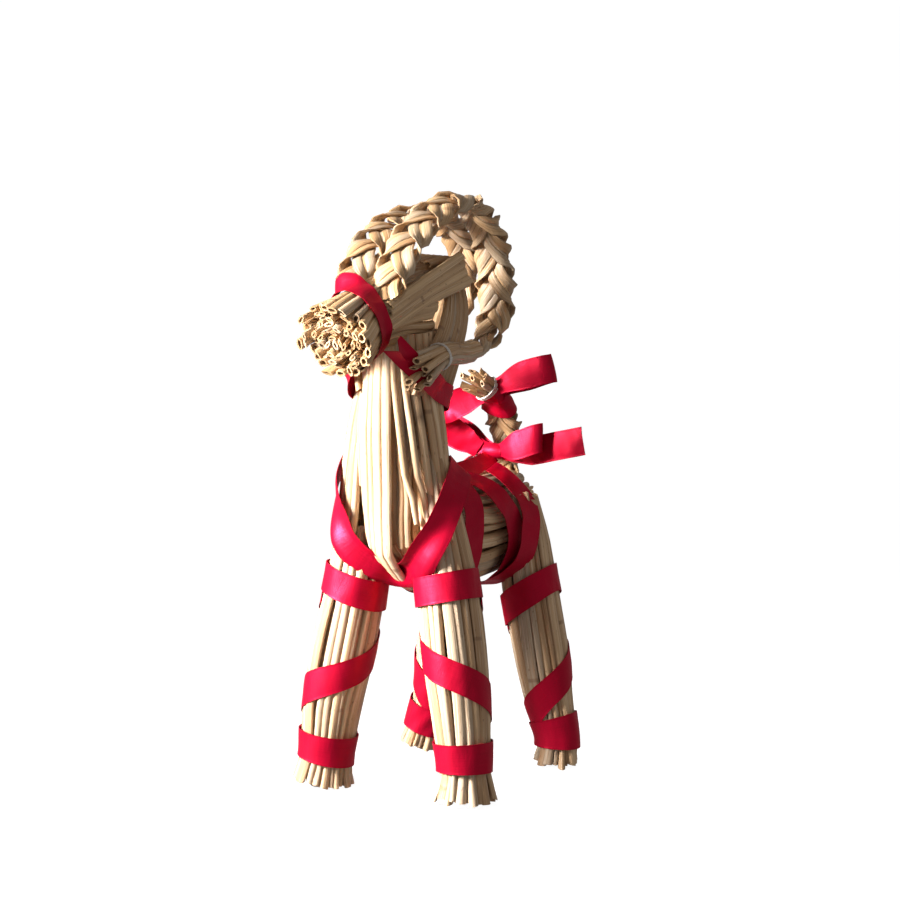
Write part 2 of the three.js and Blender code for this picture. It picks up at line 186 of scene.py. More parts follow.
def straight(points: Array, t: Array) -> Array:
    """Samples straight stretches between points.

    Args:
        points: Rows that the line passes through.
        t: Parameters from 0 at the first row to 1 at the last.

    Returns:
        One row for each parameter.
    """
    rows = np.asarray(points, float)
    place = np.clip(t, 0, 1) * (len(rows) - 1)
    return np.stack([np.interp(place, np.arange(len(rows)), column) for column in rows.T], 1)


def gradient(points: Array) -> Array:
    """The direction of a line at each of its points.

    Args:
        points: Rows of x, y, z along the line.

    Returns:
        A direction of length 1 for each row.
    """
    return unit(np.gradient(points, axis=0))


def evenly(points: Sequence[Point], count: int, smooth: bool = True) -> Array:
    """Points at even distances along a line through the given ones.

    Args:
        points: What the line passes through.
        count: How many points to return.
        smooth: False for straight stretches with corners.

    Returns:
        That many rows.
    """
    rows = np.asarray(points, float)
    fine = (spline if smooth else straight)(rows, np.linspace(0, 1, 40 * len(rows)))
    walked = np.concatenate([[0], np.cumsum(np.linalg.norm(np.diff(fine, axis=0), axis=1))])
    wanted = np.linspace(0, walked[-1], count)
    return np.stack([np.interp(wanted, walked, column) for column in fine.T], 1)


@dataclass
class Section:
    """Cross-sections of a bundle: centres, directions and half-sizes, one row for each place along it."""

    centre: Array
    along: Array
    across: Array
    out: Array
    wide: Array
    deep: Array


class Run:
    """The line of a bundle through stations of x, y, z, half-width and half-depth."""

    FINE = 400

    def __init__(self, stations: Sequence[Sequence[float]], turns: Optional[Sequence[float]] = None) -> None:
        """Measures the line.

        Args:
            stations: Rows of x, y, z, half-width, half-depth.
            turns: At each station the straw's direction as an angle in degrees from -Y towards +Z. With turns
                the straws run straight from station to station and crease there.
        """
        table = np.array([list(row) + ([row[3]] if len(row) == 4 else []) for row in stations], float)
        self._places, self._halves = table[:, :3], table[:, 3:]
        self._ways = None
        self._curve = spline
        if turns is not None:
            angles = np.radians(turns)
            self._ways = np.stack([0 * angles, -np.cos(angles), np.sin(angles)], 1)
            self._curve = straight
        self._t = np.linspace(0, 1, self.FINE + 1)
        fine = self._curve(self._places, self._t)
        self._walked = np.concatenate([[0], np.cumsum(np.linalg.norm(np.diff(fine, axis=0), axis=1))])
        self.length = float(self._walked[-1])

    def section(self, share: Array) -> Section:
        """The cross-sections at shares of the length; past either end the line goes straight on.

        Args:
            share: Shares of the length.

        Returns:
            The sections.
        """
        share = np.atleast_1d(np.asarray(share, float))
        inside = np.clip(share, 0, 1)
        t = np.interp(inside * self.length, self._walked, self._t)
        if self._ways is None:
            along = unit(spline(self._places, t + 2e-3) - spline(self._places, t - 2e-3))
        else:
            along = unit(straight(self._ways, t))
        centre = self._curve(self._places, t) + along * ((share - inside) * self.length)[:, None]
        across = unit(np.array([1.0, 0, 0]) - along * along[:, :1])
        halves = self._curve(self._halves, t)
        return Section(centre, along, across, np.cross(across, along), halves[:, 0], halves[:, 1])

    def station(self, index: int) -> float:
        """The share of the length at a station.

        Args:
            index: The station's number, from 0.

        Returns:
            The share.
        """
        return float(np.interp(index / (len(self._places) - 1), self._t, self._walked)) / self.length

    def share_at(self, axis: int, value: float) -> float:
        """The share of the length at which the line comes closest to a value of x, y or z.

        Args:
            axis: 0, 1 or 2.
            value: The value in millimetres.

        Returns:
            The share.
        """
        places = self._curve(self._places, self._t)[:, axis]
        return float(self._walked[np.argmin(np.abs(places - value))]) / self.length

    def shell(self, share: Array, angle: Array, lift: Array) -> tuple[Array, Array, Array]:
        """Points round the sections, lifted off them.

        Args:
            share: Shares of the length.
            angle: Angles round the section in radians, 0 across and a quarter turn outwards.
            lift: Millimetres off the section's outline.

        Returns:
            The points, the directions along the outline, and the outward directions.
        """
        s = self.section(share)
        c, n = np.cos(angle)[:, None], np.sin(angle)[:, None]
        wide, deep = s.wide[:, None], s.deep[:, None]
        outward = unit(deep * c * s.across + wide * n * s.out)
        round_way = unit(-wide * n * s.across + deep * c * s.out)
        point = s.centre + wide * c * s.across + deep * n * s.out + np.atleast_1d(lift)[:, None] * outward
        return point, round_way, outward

    def pitch(self, share: Array, angle: Array) -> Array:
        """Millimetres of outline for each radian of angle.

        Args:
            share: Shares of the length.
            angle: Angles round the section in radians.

        Returns:
            One value for each place.
        """
        s = self.section(share)
        return np.hypot(s.wide * np.sin(angle), s.deep * np.cos(angle))


# ---- Blender helpers ----


def deselect() -> None:
    """Clears the selection, in object mode."""
    if bpy.context.object is not None and bpy.context.object.mode != "OBJECT":
        bpy.ops.object.mode_set(mode="OBJECT")
    bpy.ops.object.select_all(action="DESELECT")


def activate(piece: bpy.types.Object) -> None:
    """Makes a piece the only selected and the active one.

    Args:
        piece: The piece.
    """
    deselect()
    piece.select_set(True)
    bpy.context.view_layer.objects.active = piece


def coordinates(mesh: bpy.types.Mesh) -> Array:
    """A mesh's vertices.

    Args:
        mesh: The mesh.

    Returns:
        Rows of x, y, z.
    """
    flat = np.empty(len(mesh.vertices) * 3, np.float32)
    mesh.vertices.foreach_get("co", flat)
    return flat.reshape(-1, 3).astype(float)


def set_coordinates(mesh: bpy.types.Mesh, rows: Array) -> None:
    """Moves a mesh's vertices.

    Args:
        mesh: The mesh.
        rows: Their new x, y, z.
    """
    mesh.vertices.foreach_set("co", np.asarray(rows, np.float32).ravel())
    mesh.update()


def join(parts: Sequence[bpy.types.Object], name: str) -> bpy.types.Object:
    """Joins meshes into one piece.

    Args:
        parts: The meshes' objects.
        name: The piece's name.

    Returns:
        The piece.
    """
    deselect()
    for part in parts:
        part.select_set(True)
    bpy.context.view_layer.objects.active = parts[0]
    if len(parts) > 1:
        bpy.ops.object.join()
    piece = bpy.context.view_layer.objects.active
    piece.name = name
    piece.data.name = name
    return piece


# ---- Shader graphs ----


class Wire:
    """A shader socket that takes part in arithmetic."""

    def __init__(self, graph: "Graph", socket: bpy.types.NodeSocket) -> None:
        """Keeps the graph and the socket."""
        self.graph = graph
        self.socket = socket

    def _with(self, operation: str, other: Any, swapped: bool = False) -> "Wire":
        """Adds a Math node on this wire and another value.

        Args:
            operation: The Math node's operation.
            other: A wire or a number.
            swapped: True where the other value comes first.

        Returns:
            The node's result.
        """
        pair = (other, self) if swapped else (self, other)
        return self.graph.wire("ShaderNodeMath", {"operation": operation}, {0: pair[0], 1: pair[1]})

    def __add__(self, other: Any) -> "Wire":
        """self + other."""
        return self._with("ADD", other)

    __radd__ = __add__

    def __mul__(self, other: Any) -> "Wire":
        """self * other."""
        return self._with("MULTIPLY", other)

    __rmul__ = __mul__

    def __sub__(self, other: Any) -> "Wire":
        """self - other."""
        return self._with("SUBTRACT", other)

    def __rsub__(self, other: Any) -> "Wire":
        """other - self."""
        return self._with("SUBTRACT", other, swapped=True)

    def __truediv__(self, other: Any) -> "Wire":
        """self / other."""
        return self._with("DIVIDE", other)

    def __pow__(self, other: Any) -> "Wire":
        """self ** other."""
        return self._with("POWER", other)

    def __abs__(self) -> "Wire":
        """The size of self."""
        return self.graph.wire("ShaderNodeMath", {"operation": "ABSOLUTE"}, {0: self})

    def fraction(self) -> "Wire":
        """What is left of self past a whole number."""
        return self.graph.wire("ShaderNodeMath", {"operation": "FRACT"}, {0: self})

    def step(self, low: float, high: float) -> "Wire":
        """A smooth step of self.

        Args:
            low: Where the step is 0.
            high: Where it is 1; under low for a falling step.

        Returns:
            Values from 0 to 1.
        """
        ends = {"From Min": min(low, high), "From Max": max(low, high), "To Min": 0.0, "To Max": 1.0}
        if high < low:
            ends.update({"To Min": 1.0, "To Max": 0.0})
        settings = {"interpolation_type": "SMOOTHSTEP"}
        return self.graph.wire("ShaderNodeMapRange", settings, {"Value": self, **ends})


class Graph:
    """The node tree of a new material or world."""

    def __init__(self, owner: Union[bpy.types.Material, bpy.types.World]) -> None:
        """Empties the owner's node tree.

        Args:
            owner: The material or world to build.
        """
        owner.use_nodes = True
        self.tree = owner.node_tree
        self.tree.nodes.clear()

    def node(
        self,
        kind: str,
        settings: Optional[dict[str, Any]] = None,
        inputs: Optional[dict[Union[str, int], Any]] = None,
    ) -> bpy.types.Node:
        """Adds a node.

        Args:
            kind: The node's type.
            settings: Its properties, and under "stops" a ramp's places and colours. They are set first.
            inputs: The values or wires of its sockets, by name or number.

        Returns:
            The node.
        """
        made = self.tree.nodes.new(kind)
        for key, value in (settings or {}).items():
            if key == "stops":
                self._stops(made.color_ramp.elements, value)
            else:
                setattr(made, key, value)
        for key, value in (inputs or {}).items():
            socket = made.inputs[key]
            if isinstance(value, Wire):
                self.tree.links.new(value.socket, socket)
            elif isinstance(value, tuple) and len(value) == 3 and socket.type == "RGBA":
                socket.default_value = (*value, 1.0)
            else:
                socket.default_value = value
        return made

    @staticmethod
    def _stops(elements: Any, stops: Sequence[tuple[float, Colour]]) -> None:
        """Sets a colour ramp's stops.

        Args:
            elements: The ramp's elements.
            stops: Places from 0 to 1 and their colours.
        """
        while len(elements) < len(stops):
            elements.new(0.5)
        for element, (place, colour) in zip(elements, stops):
            element.position = place
            element.color = (*colour, 1.0)

    def wire(
        self,
        kind: str,
        settings: Optional[dict[str, Any]] = None,
        inputs: Optional[dict[Union[str, int], Any]] = None,
        output: Union[str, int] = 0,
    ) -> Wire:
        """Adds a node and returns one of its outputs.

        Args:
            kind: The node's type.
            settings: Its properties.
            inputs: Its sockets' values or wires.
            output: Which output.

        Returns:
            The output's wire.
        """
        return Wire(self, self.node(kind, settings, inputs).outputs[output])

    def mix(self, share: Any, first: Any, second: Any) -> Wire:
        """Mixes two colours.

        Args:
            share: How much of the second, from 0 to 1.
            first: A colour.
            second: Another.

        Returns:
            The mixed colour.
        """
        return self.wire("ShaderNodeMix", {"data_type": "RGBA"}, {0: share, 6: first, 7: second}, 2)

    def noise(self, x: Any, y: Any, z: Any, detail: float = 2.0, roughness: float = 0.5) -> Wire:
        """Noise at a point whose numbers already hold its scale.

        Args:
            x: The first number.
            y: The second.
            z: The third.
            detail: Octaves of finer noise.
            roughness: How strong those are.

        Returns:
            Values round a half.
        """
        at = self.wire("ShaderNodeCombineXYZ", None, {0: x, 1: y, 2: z})
        inputs = {"Vector": at, "Scale": 1.0, "Detail": detail, "Roughness": roughness}
        return self.wire("ShaderNodeTexNoise", None, inputs)

    def surface(self, inputs: dict[Union[str, int], Any]) -> None:
        """Ends the graph in a Principled shader.

        Args:
            inputs: The shader's values or wires.
        """
        shader = self.wire("ShaderNodeBsdfPrincipled", None, inputs)
        self.node("ShaderNodeOutputMaterial", None, {"Surface": shader})

    def bump(self, height: Wire, distance: float, strength: float = 1.0) -> Wire:
        """A normal from a height.

        Args:
            height: The height, round 0 to 1.
            distance: Metres from height 0 to 1.
            strength: How much of it shows.

        Returns:
            The normal.
        """
        inputs = {"Strength": strength, "Distance": distance, "Height": height}
        return self.wire("ShaderNodeBump", None, inputs)


# ---- Finishes ----


@dataclass(frozen=True)
class StrawFinish:
    """Dry straw: streaked along its length, with a brown joint here and there and painted shade in its bore.
    """

    name: str
    pale: Colour
    deep: Colour
    weathered: Colour = (0.42, 0.34, 0.25)
    streak: Colour = (0.27, 0.145, 0.06)
    # Painted highlight: the cream of bright streaks along the fibre.
    painted_gleam: Colour = (0.86, 0.68, 0.48)
    joint: Colour = (0.16, 0.07, 0.03)
    stain: Colour = (0.11, 0.055, 0.028)
    # Painted shade for the inside of the cut ends.
    bore: Colour = (0.2, 0.105, 0.045)
    roughness: float = 0.42
    joint_gap: float = 0.19
    joint_outer: float = 0.0013
    joint_inner: float = 0.0004

    def material(self) -> bpy.types.Material:
        """Builds the material.

        Returns:
            The material.
        """
        made = bpy.data.materials.new(self.name)
        g = Graph(made)
        uv = g.wire("ShaderNodeUVMap", {"uv_map": UV_MAP})
        split = g.node("ShaderNodeSeparateXYZ", None, {0: uv})
        u, v = Wire(g, split.outputs[0]), Wire(g, split.outputs[1])
        marks = g.wire("ShaderNodeAttribute", {"attribute_name": STRAW_ATTRIBUTE})
        parts = g.node("ShaderNodeSeparateColor", None, {0: marks})
        tint, stain, bore = (Wire(g, parts.outputs[i]) for i in range(3))
        fibre = g.noise(u * 2300, v * 30, tint * 31, 3, 0.6)
        ridge = g.noise(u * 900, v * 9, tint * 77, 1)
        broad = g.noise(u * 160, v * 24, tint * 57, 2)
        speck = g.noise(u * 900, v * 420, tint * 13, 1).step(0.69, 0.75)
        off_joint = abs((v / self.joint_gap).fraction() - 0.5)
        joint = off_joint.step(self.joint_outer / self.joint_gap, self.joint_inner / self.joint_gap)
        shade = (tint * 1.05 + (broad - 0.5) * 1.5).step(0.0, 1.0)
        colour = g.mix(shade, self.pale, self.deep)
        colour = g.mix((tint * 7.3).fraction().step(0.68, 0.78) * 0.6, colour, self.weathered)
        colour = g.mix(ridge.step(0.46, 0.66) * 0.5, colour, self.deep)
        colour = g.mix(fibre.step(0.52, 0.72) * 0.62, colour, self.streak)
        # Painted highlight: cream streaks where the fibre noise is low.
        colour = g.mix(fibre.step(0.46, 0.30) * 0.5, colour, self.painted_gleam)
        colour = g.mix(joint * 0.5 + speck * 0.5, colour, self.joint)
        colour = g.mix(stain, colour, self.stain)
        # Painted shade: the bore darkens with its depth.
        colour = g.mix(bore, colour, self.bore)
        g.surface(
            {
                "Base Color": colour,
                "Roughness": fibre * 0.25 + bore * 0.25 + self.roughness,
                "Specular IOR Level": 0.5,
                "Normal": g.bump(fibre * 0.6 + ridge * 0.9 + joint * 0.4, 0.0003, 0.9),
            }
        )
        return made


@dataclass(frozen=True)
class SatinFinish:
    """Woven satin ribbon: a close weave with a soft red shine and firmer edges."""

    name: str
    red: Colour
    deep: Colour
    width: float = 0.0127
    roughness: float = 0.44

    def material(self) -> bpy.types.Material:
        """Builds the material.

        Returns:
            The material.
        """
        made = bpy.data.materials.new(self.name)
        g = Graph(made)
        uv = g.wire("ShaderNodeUVMap", {"uv_map": UV_MAP})
        split = g.node("ShaderNodeSeparateXYZ", None, {0: uv})
        u, v = Wire(g, split.outputs[0]), Wire(g, split.outputs[1])
        weft = g.noise(u * 5200, v * 600, 0.0, 1)
        warp = g.noise(u * 90, v * 3600, 4.0, 2)
        crease = g.noise(u * 240, v * 55, 9.0, 3)
        cloud = g.noise(u * 60, v * 80, 2.0, 2)
        edge = abs(v - self.width / 2).step(self.width / 2 - 0.0008, self.width / 2 - 0.0003)
        shade = ((warp - 0.5) * 0.9 + (cloud - 0.5) * 0.8 + 0.42).step(0.0, 1.0)
        colour = g.mix(shade, self.red, self.deep)
        colour = g.mix(edge * 0.35, colour, self.deep)
        g.surface(
            {
                "Base Color": colour,
                "Metallic": 0.42,
                "Roughness": (cloud - 0.5) * 0.2 + (weft - 0.5) * 0.14 + self.roughness,
                "Specular IOR Level": 0.4,
                "Specular Tint": (1.0, 0.35, 0.45),
                "Normal": g.bump(weft * 0.14 + warp * 0.14 + crease * 1.0 + edge * 0.2, 0.0004, 0.7),
            }
        )
        return made


@dataclass(frozen=True)
class ThreadFinish:
    """White cotton thread, two-ply."""

    name: str
    white: Colour = (0.74, 0.69, 0.64)
    # Greyer in the grooves between the plies: painted shade, with the fuzz noise greying it here and there.
    groove_shade_and_fuzz: Colour = (0.42, 0.35, 0.29)

    def material(self) -> bpy.types.Material:
        """Builds the material.

        Returns:
            The material.
        """
        made = bpy.data.materials.new(self.name)
        g = Graph(made)
        uv = g.wire("ShaderNodeUVMap", {"uv_map": UV_MAP})
        split = g.node("ShaderNodeSeparateXYZ", None, {0: uv})
        u, v = Wire(g, split.outputs[0]), Wire(g, split.outputs[1])
        ply = abs((v * 900 + u * 700).fraction() - 0.5) * 2
        fuzz = g.noise(u * 4000, v * 2500, 1.0, 2)
        # Painted shade in the ply grooves, where the bump sinks, plus random fuzz.
        colour = g.mix(ply * 0.4 + fuzz * 0.35, self.white, self.groove_shade_and_fuzz)
        g.surface({"Base Color": colour, "Roughness": fuzz * 0.2 + 0.7, "Normal": g.bump(1 - ply, 0.00012)})
        return made


@dataclass(frozen=True)
class StudioFinish:
    """A white backdrop that glows evenly, and under the goat still takes a soft shadow."""

    name: str
    glow: float
    white: Colour = (0.20, 0.20, 0.20)

    def material(self) -> bpy.types.Material:
        """Builds the material.

        Returns:
            The material.
        """
        made = bpy.data.materials.new(self.name)
        g = Graph(made)
        at = g.wire("ShaderNodeTexCoord", None, None, "Object")
        cloud = g.wire("ShaderNodeTexNoise", None, {"Vector": at, "Scale": 6.0, "Detail": 2.0})
        g.surface(
            {
                "Base Color": g.mix(cloud, self.white, (0.19, 0.19, 0.19)),
                "Roughness": 1.0,
                "Specular IOR Level": 0.0,
                "Emission Color": (1.0, 1.0, 1.0),
                "Emission Strength": self.glow,
            }
        )
        return made


class Finishes:
    """The goat's materials, each made once."""

    def __init__(self) -> None:
        """Builds every material."""
        self.by_slot = {
            Slot.PALE: StrawFinish("pale_straw", (0.70, 0.47, 0.27), (0.46, 0.27, 0.135)).material(),
            Slot.LEG: StrawFinish("leg_straw_brown", (0.63, 0.42, 0.235), (0.36, 0.20, 0.095)).material(),
            Slot.PLAITED: StrawFinish(
                "plaited_straw_tan", (0.62, 0.40, 0.205), (0.37, 0.205, 0.09), roughness=0.36
            ).material(),
            Slot.SATIN: SatinFinish(
                "satin_ribbon_red", (0.46, 0.0015, 0.024), (0.34, 0.001, 0.016)
            ).material(),
            Slot.THREAD: ThreadFinish("cotton_thread_white").material(),
        }

    def dress(self, piece: bpy.types.Object, slot: Slot, *nodes: str) -> bpy.types.Object:
        """Gives a piece its material, hangs it on the body and hides the solids it stands for.

        Args:
            piece: The piece.
            slot: Its material slot.
            nodes: The solids it stands for.

        Returns:
            The piece.
        """
        piece.data.materials.clear()
        piece.data.materials.append(self.by_slot[slot])
        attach(piece, BODY)
        if nodes:
            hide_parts(*nodes)
        LOG.info("%s: %d faces", piece.name, len(piece.data.polygons))
        return piece


# ---- Straws ----


@dataclass
class Route:
    """A straw's line in millimetres: centres, the ways of its width and thickness, and its half-sizes."""

    centre: Array
    width_way: Array
    thick_way: Array
    half_width: Array
    half_thick: Array


@dataclass
class StrawLook:
    """What tells one straw from another."""

    tint: float
    stain: float = 0.0
    stain_at: float = 0.5
    stain_spread: float = 0.08
    slant: float = 0.0
    slant_turn: float = 0.0
    dent: float = 0.0
    dent_turn: float = 1.57
    wall: float = 0.72


class StrawTemplate:
    """A straw modelled once, on +Z from 0 to 1: a tube whose cut ends have a rim and a bore."""

    BORE = 0.7
    BORE_DEPTH = 0.02

    def __init__(self, sides: int, rings: int) -> None:
        """Models the tube.

        Args:
            sides: Faces round it.
            rings: Rows of vertices along it.
        """
        deselect()
        bpy.ops.mesh.primitive_cylinder_add(
            vertices=sides, radius=1, depth=1, end_fill_type="NOTHING", location=(0, 0, 0.5)
        )
        self.object = bpy.context.object
        bpy.ops.object.transform_apply(location=True, rotation=False, scale=False)
        mesh = self.object.data
        ends = coordinates(mesh)[:, 2]
        self._edit(lambda: [ends[a] != ends[b] for a, b in (e.vertices for e in mesh.edges)], edges=True)
        bpy.ops.mesh.subdivide(number_cuts=rings - 2)
        for end in (0.0, 1.0):
            bpy.ops.object.mode_set(mode="OBJECT")
            rim = np.abs(coordinates(mesh)[:, 2] - end) < 1e-6
            self._edit(lambda: list(rim))
            bpy.ops.mesh.extrude_edges_move()
            bpy.ops.transform.resize(value=(self.BORE, self.BORE, 1), center_override=(0, 0, end))
            depth = self.BORE_DEPTH * (1 if end == 0 else -1)
            bpy.ops.mesh.extrude_edges_move(TRANSFORM_OT_translate={"value": (0, 0, depth)})
            bpy.ops.mesh.edge_face_add()
        bpy.ops.mesh.select_all(action="SELECT")
        bpy.ops.mesh.normals_make_consistent(inside=False)
        bpy.ops.object.mode_set(mode="OBJECT")
        bpy.ops.object.shade_smooth_by_angle(angle=math.radians(50))
        self.rings = rings
        self._measure(mesh)
        mesh.attributes.new(STRAW_ATTRIBUTE, "FLOAT_COLOR", "POINT")

    def _edit(self, chosen: Callable[[], list[bool]], edges: bool = False) -> None:
        """Goes into edit mode with the chosen vertices or edges selected.

        Args:
            chosen: Says for each vertex or edge whether it is selected.
            edges: True to choose edges.
        """
        mesh = self.object.data
        bpy.ops.object.mode_set(mode="EDIT")
        bpy.ops.mesh.select_mode(type="EDGE" if edges else "VERT")
        bpy.ops.mesh.select_all(action="DESELECT")
        bpy.ops.object.mode_set(mode="OBJECT")
        items = mesh.edges if edges else mesh.vertices
        items.foreach_set("select", np.array(chosen(), bool))
        bpy.ops.object.mode_set(mode="EDIT")

    def _measure(self, mesh: bpy.types.Mesh) -> None:
        """Keeps what laying a straw needs: each vertex's place on the tube, and each corner's.

        Args:
            mesh: The finished tube.
        """
        rows = coordinates(mesh)
        radius = np.hypot(rows[:, 0], rows[:, 1])
        self.inner = radius < 0.9
        self.angle = np.arctan2(rows[:, 1], rows[:, 0])
        self.z = rows[:, 2]
        self.end = np.where(self.z > 0.5, 1, 0)
        self.depth = np.where(self.inner, np.abs(self.z - self.end) / self.BORE_DEPTH, 0.0)
        corner = np.empty(len(mesh.loops), np.int32)
        mesh.loops.foreach_get("vertex_index", corner)
        turn = (self.angle[corner] / (2 * np.pi)) % 1.0
        for face in mesh.polygons:
            part = slice(face.loop_start, face.loop_start + face.loop_total)
            if np.ptp(turn[part]) > 0.5:
                turn[part] += turn[part] < 0.5
        self.corner_turn, self.corner_z = turn, self.z[corner]

    def lay(self, route: Route, look: StrawLook, shift: float) -> bpy.types.Object:
        """Lays a copy of the straw along a route.

        Args:
            route: The route, with as many places as the template has rings.
            look: The straw's own marks.
            shift: Where its pattern starts, in metres.

        Returns:
            The straw.
        """
        wall, bore_depth = look.wall, 1.8
        steps = np.linalg.norm(np.diff(route.centre, axis=0), axis=1)
        walked = np.concatenate([[0], np.cumsum(steps)])
        length = walked[-1]
        z = np.where(self.inner, self.end, self.z)
        z = z + np.where(self.inner, (1 - 2 * self.end) * self.depth * min(0.4, bore_depth / length), 0)
        place = z * (self.rings - 1)

        def at(values: Array) -> Array:
            """The values along the route, read at each vertex.

            Args:
                values: A value or a row of values for each ring.

            Returns:
                The same for each vertex.
            """
            if values.ndim == 1:
                return np.interp(place, np.arange(self.rings), values)
            return np.stack([np.interp(place, np.arange(self.rings), column) for column in values.T], 1)

        half_width, half_thick = at(route.half_width), at(route.half_thick)
        thin = np.where(self.inner, wall, 0.0)
        half_width = np.maximum(half_width - thin, 0.5 * half_width)
        half_thick = np.maximum(half_thick - thin, 0.4 * half_thick)
        width_way, thick_way = at(route.width_way), at(route.thick_way)
        along = at(gradient(route.centre))
        away = np.angle(np.exp(1j * (self.angle - look.dent_turn)))
        pressed = 1 - look.dent * np.exp(-((away / 0.5) ** 2)) * (0.65 + 0.35 * np.sin(9 * z + 7 * look.tint))
        half_width, half_thick = half_width * pressed, half_thick * pressed
        is_end = (self.z < 1e-6) | (self.z > 1 - 1e-6) | self.inner
        slant = np.where(is_end, look.slant * half_width * np.cos(self.angle - look.slant_turn), 0)
        rows = (
            at(route.centre)
            + width_way * (half_width * np.cos(self.angle))[:, None]
            + thick_way * (half_thick * np.sin(self.angle))[:, None]
            + along * slant[:, None]
        )
        piece = self.object.copy()
        piece.data = self.object.data.copy()
        bpy.context.scene.collection.objects.link(piece)
        set_coordinates(piece.data, STANCE.metres(rows))
        stain = look.stain * np.exp(-(((z - look.stain_at) / look.stain_spread) ** 2))
        # How deep each vertex sits in the bore, for the material's painted shade there.
        bore_shade = np.where(self.inner, 0.25 + 0.75 * self.depth, 0)
        marks = np.stack([np.full(len(z), look.tint), np.clip(stain, 0, 1), bore_shade, np.ones(len(z))], 1)
        piece.data.attributes[STRAW_ATTRIBUTE].data.foreach_set("color", marks.astype(np.float32).ravel())
        girth = 2 * np.pi * float(np.mean(route.half_width)) * MM
        uv = np.stack([self.corner_turn * girth + 7.3 * shift, self.corner_z * length * MM + shift], 1)
        piece.data.uv_layers[UV_MAP].data.foreach_set("uv", uv.astype(np.float32).ravel())
        return piece


@dataclass
class Layer:
    """One layer of straws round a run."""

    count: int
    inset: float = 0.0
    radius: float = 2.0
    span: tuple[float, float] = (0.0, 1.0)
    ragged: tuple[float, float] = (0.0, 0.0)
    wander: float = 0.22
    uneven: float = 0.45
    sides: int = 10
    rings: int = 14
    tint: tuple[float, float] = (0.1, 0.9)
    reach: Optional[Callable[[float], tuple[float, float]]] = None
    hold: float = 0.3
    arc: tuple[float, float] = (0.0, 360.0)
    creases: tuple[float, ...] = ()
    splay: float = 0.0
    splay_length: float = 14.0
    widest: float = 1.5
    wall: float = 0.72


@dataclass
class PlacedStraw:
    """A straw on a bundle: rows of share of the length, angle in degrees and lift in millimetres."""

    places: Sequence[tuple[float, float, float]]
    radius: float
    look: StrawLook
    flat: float = 0.8


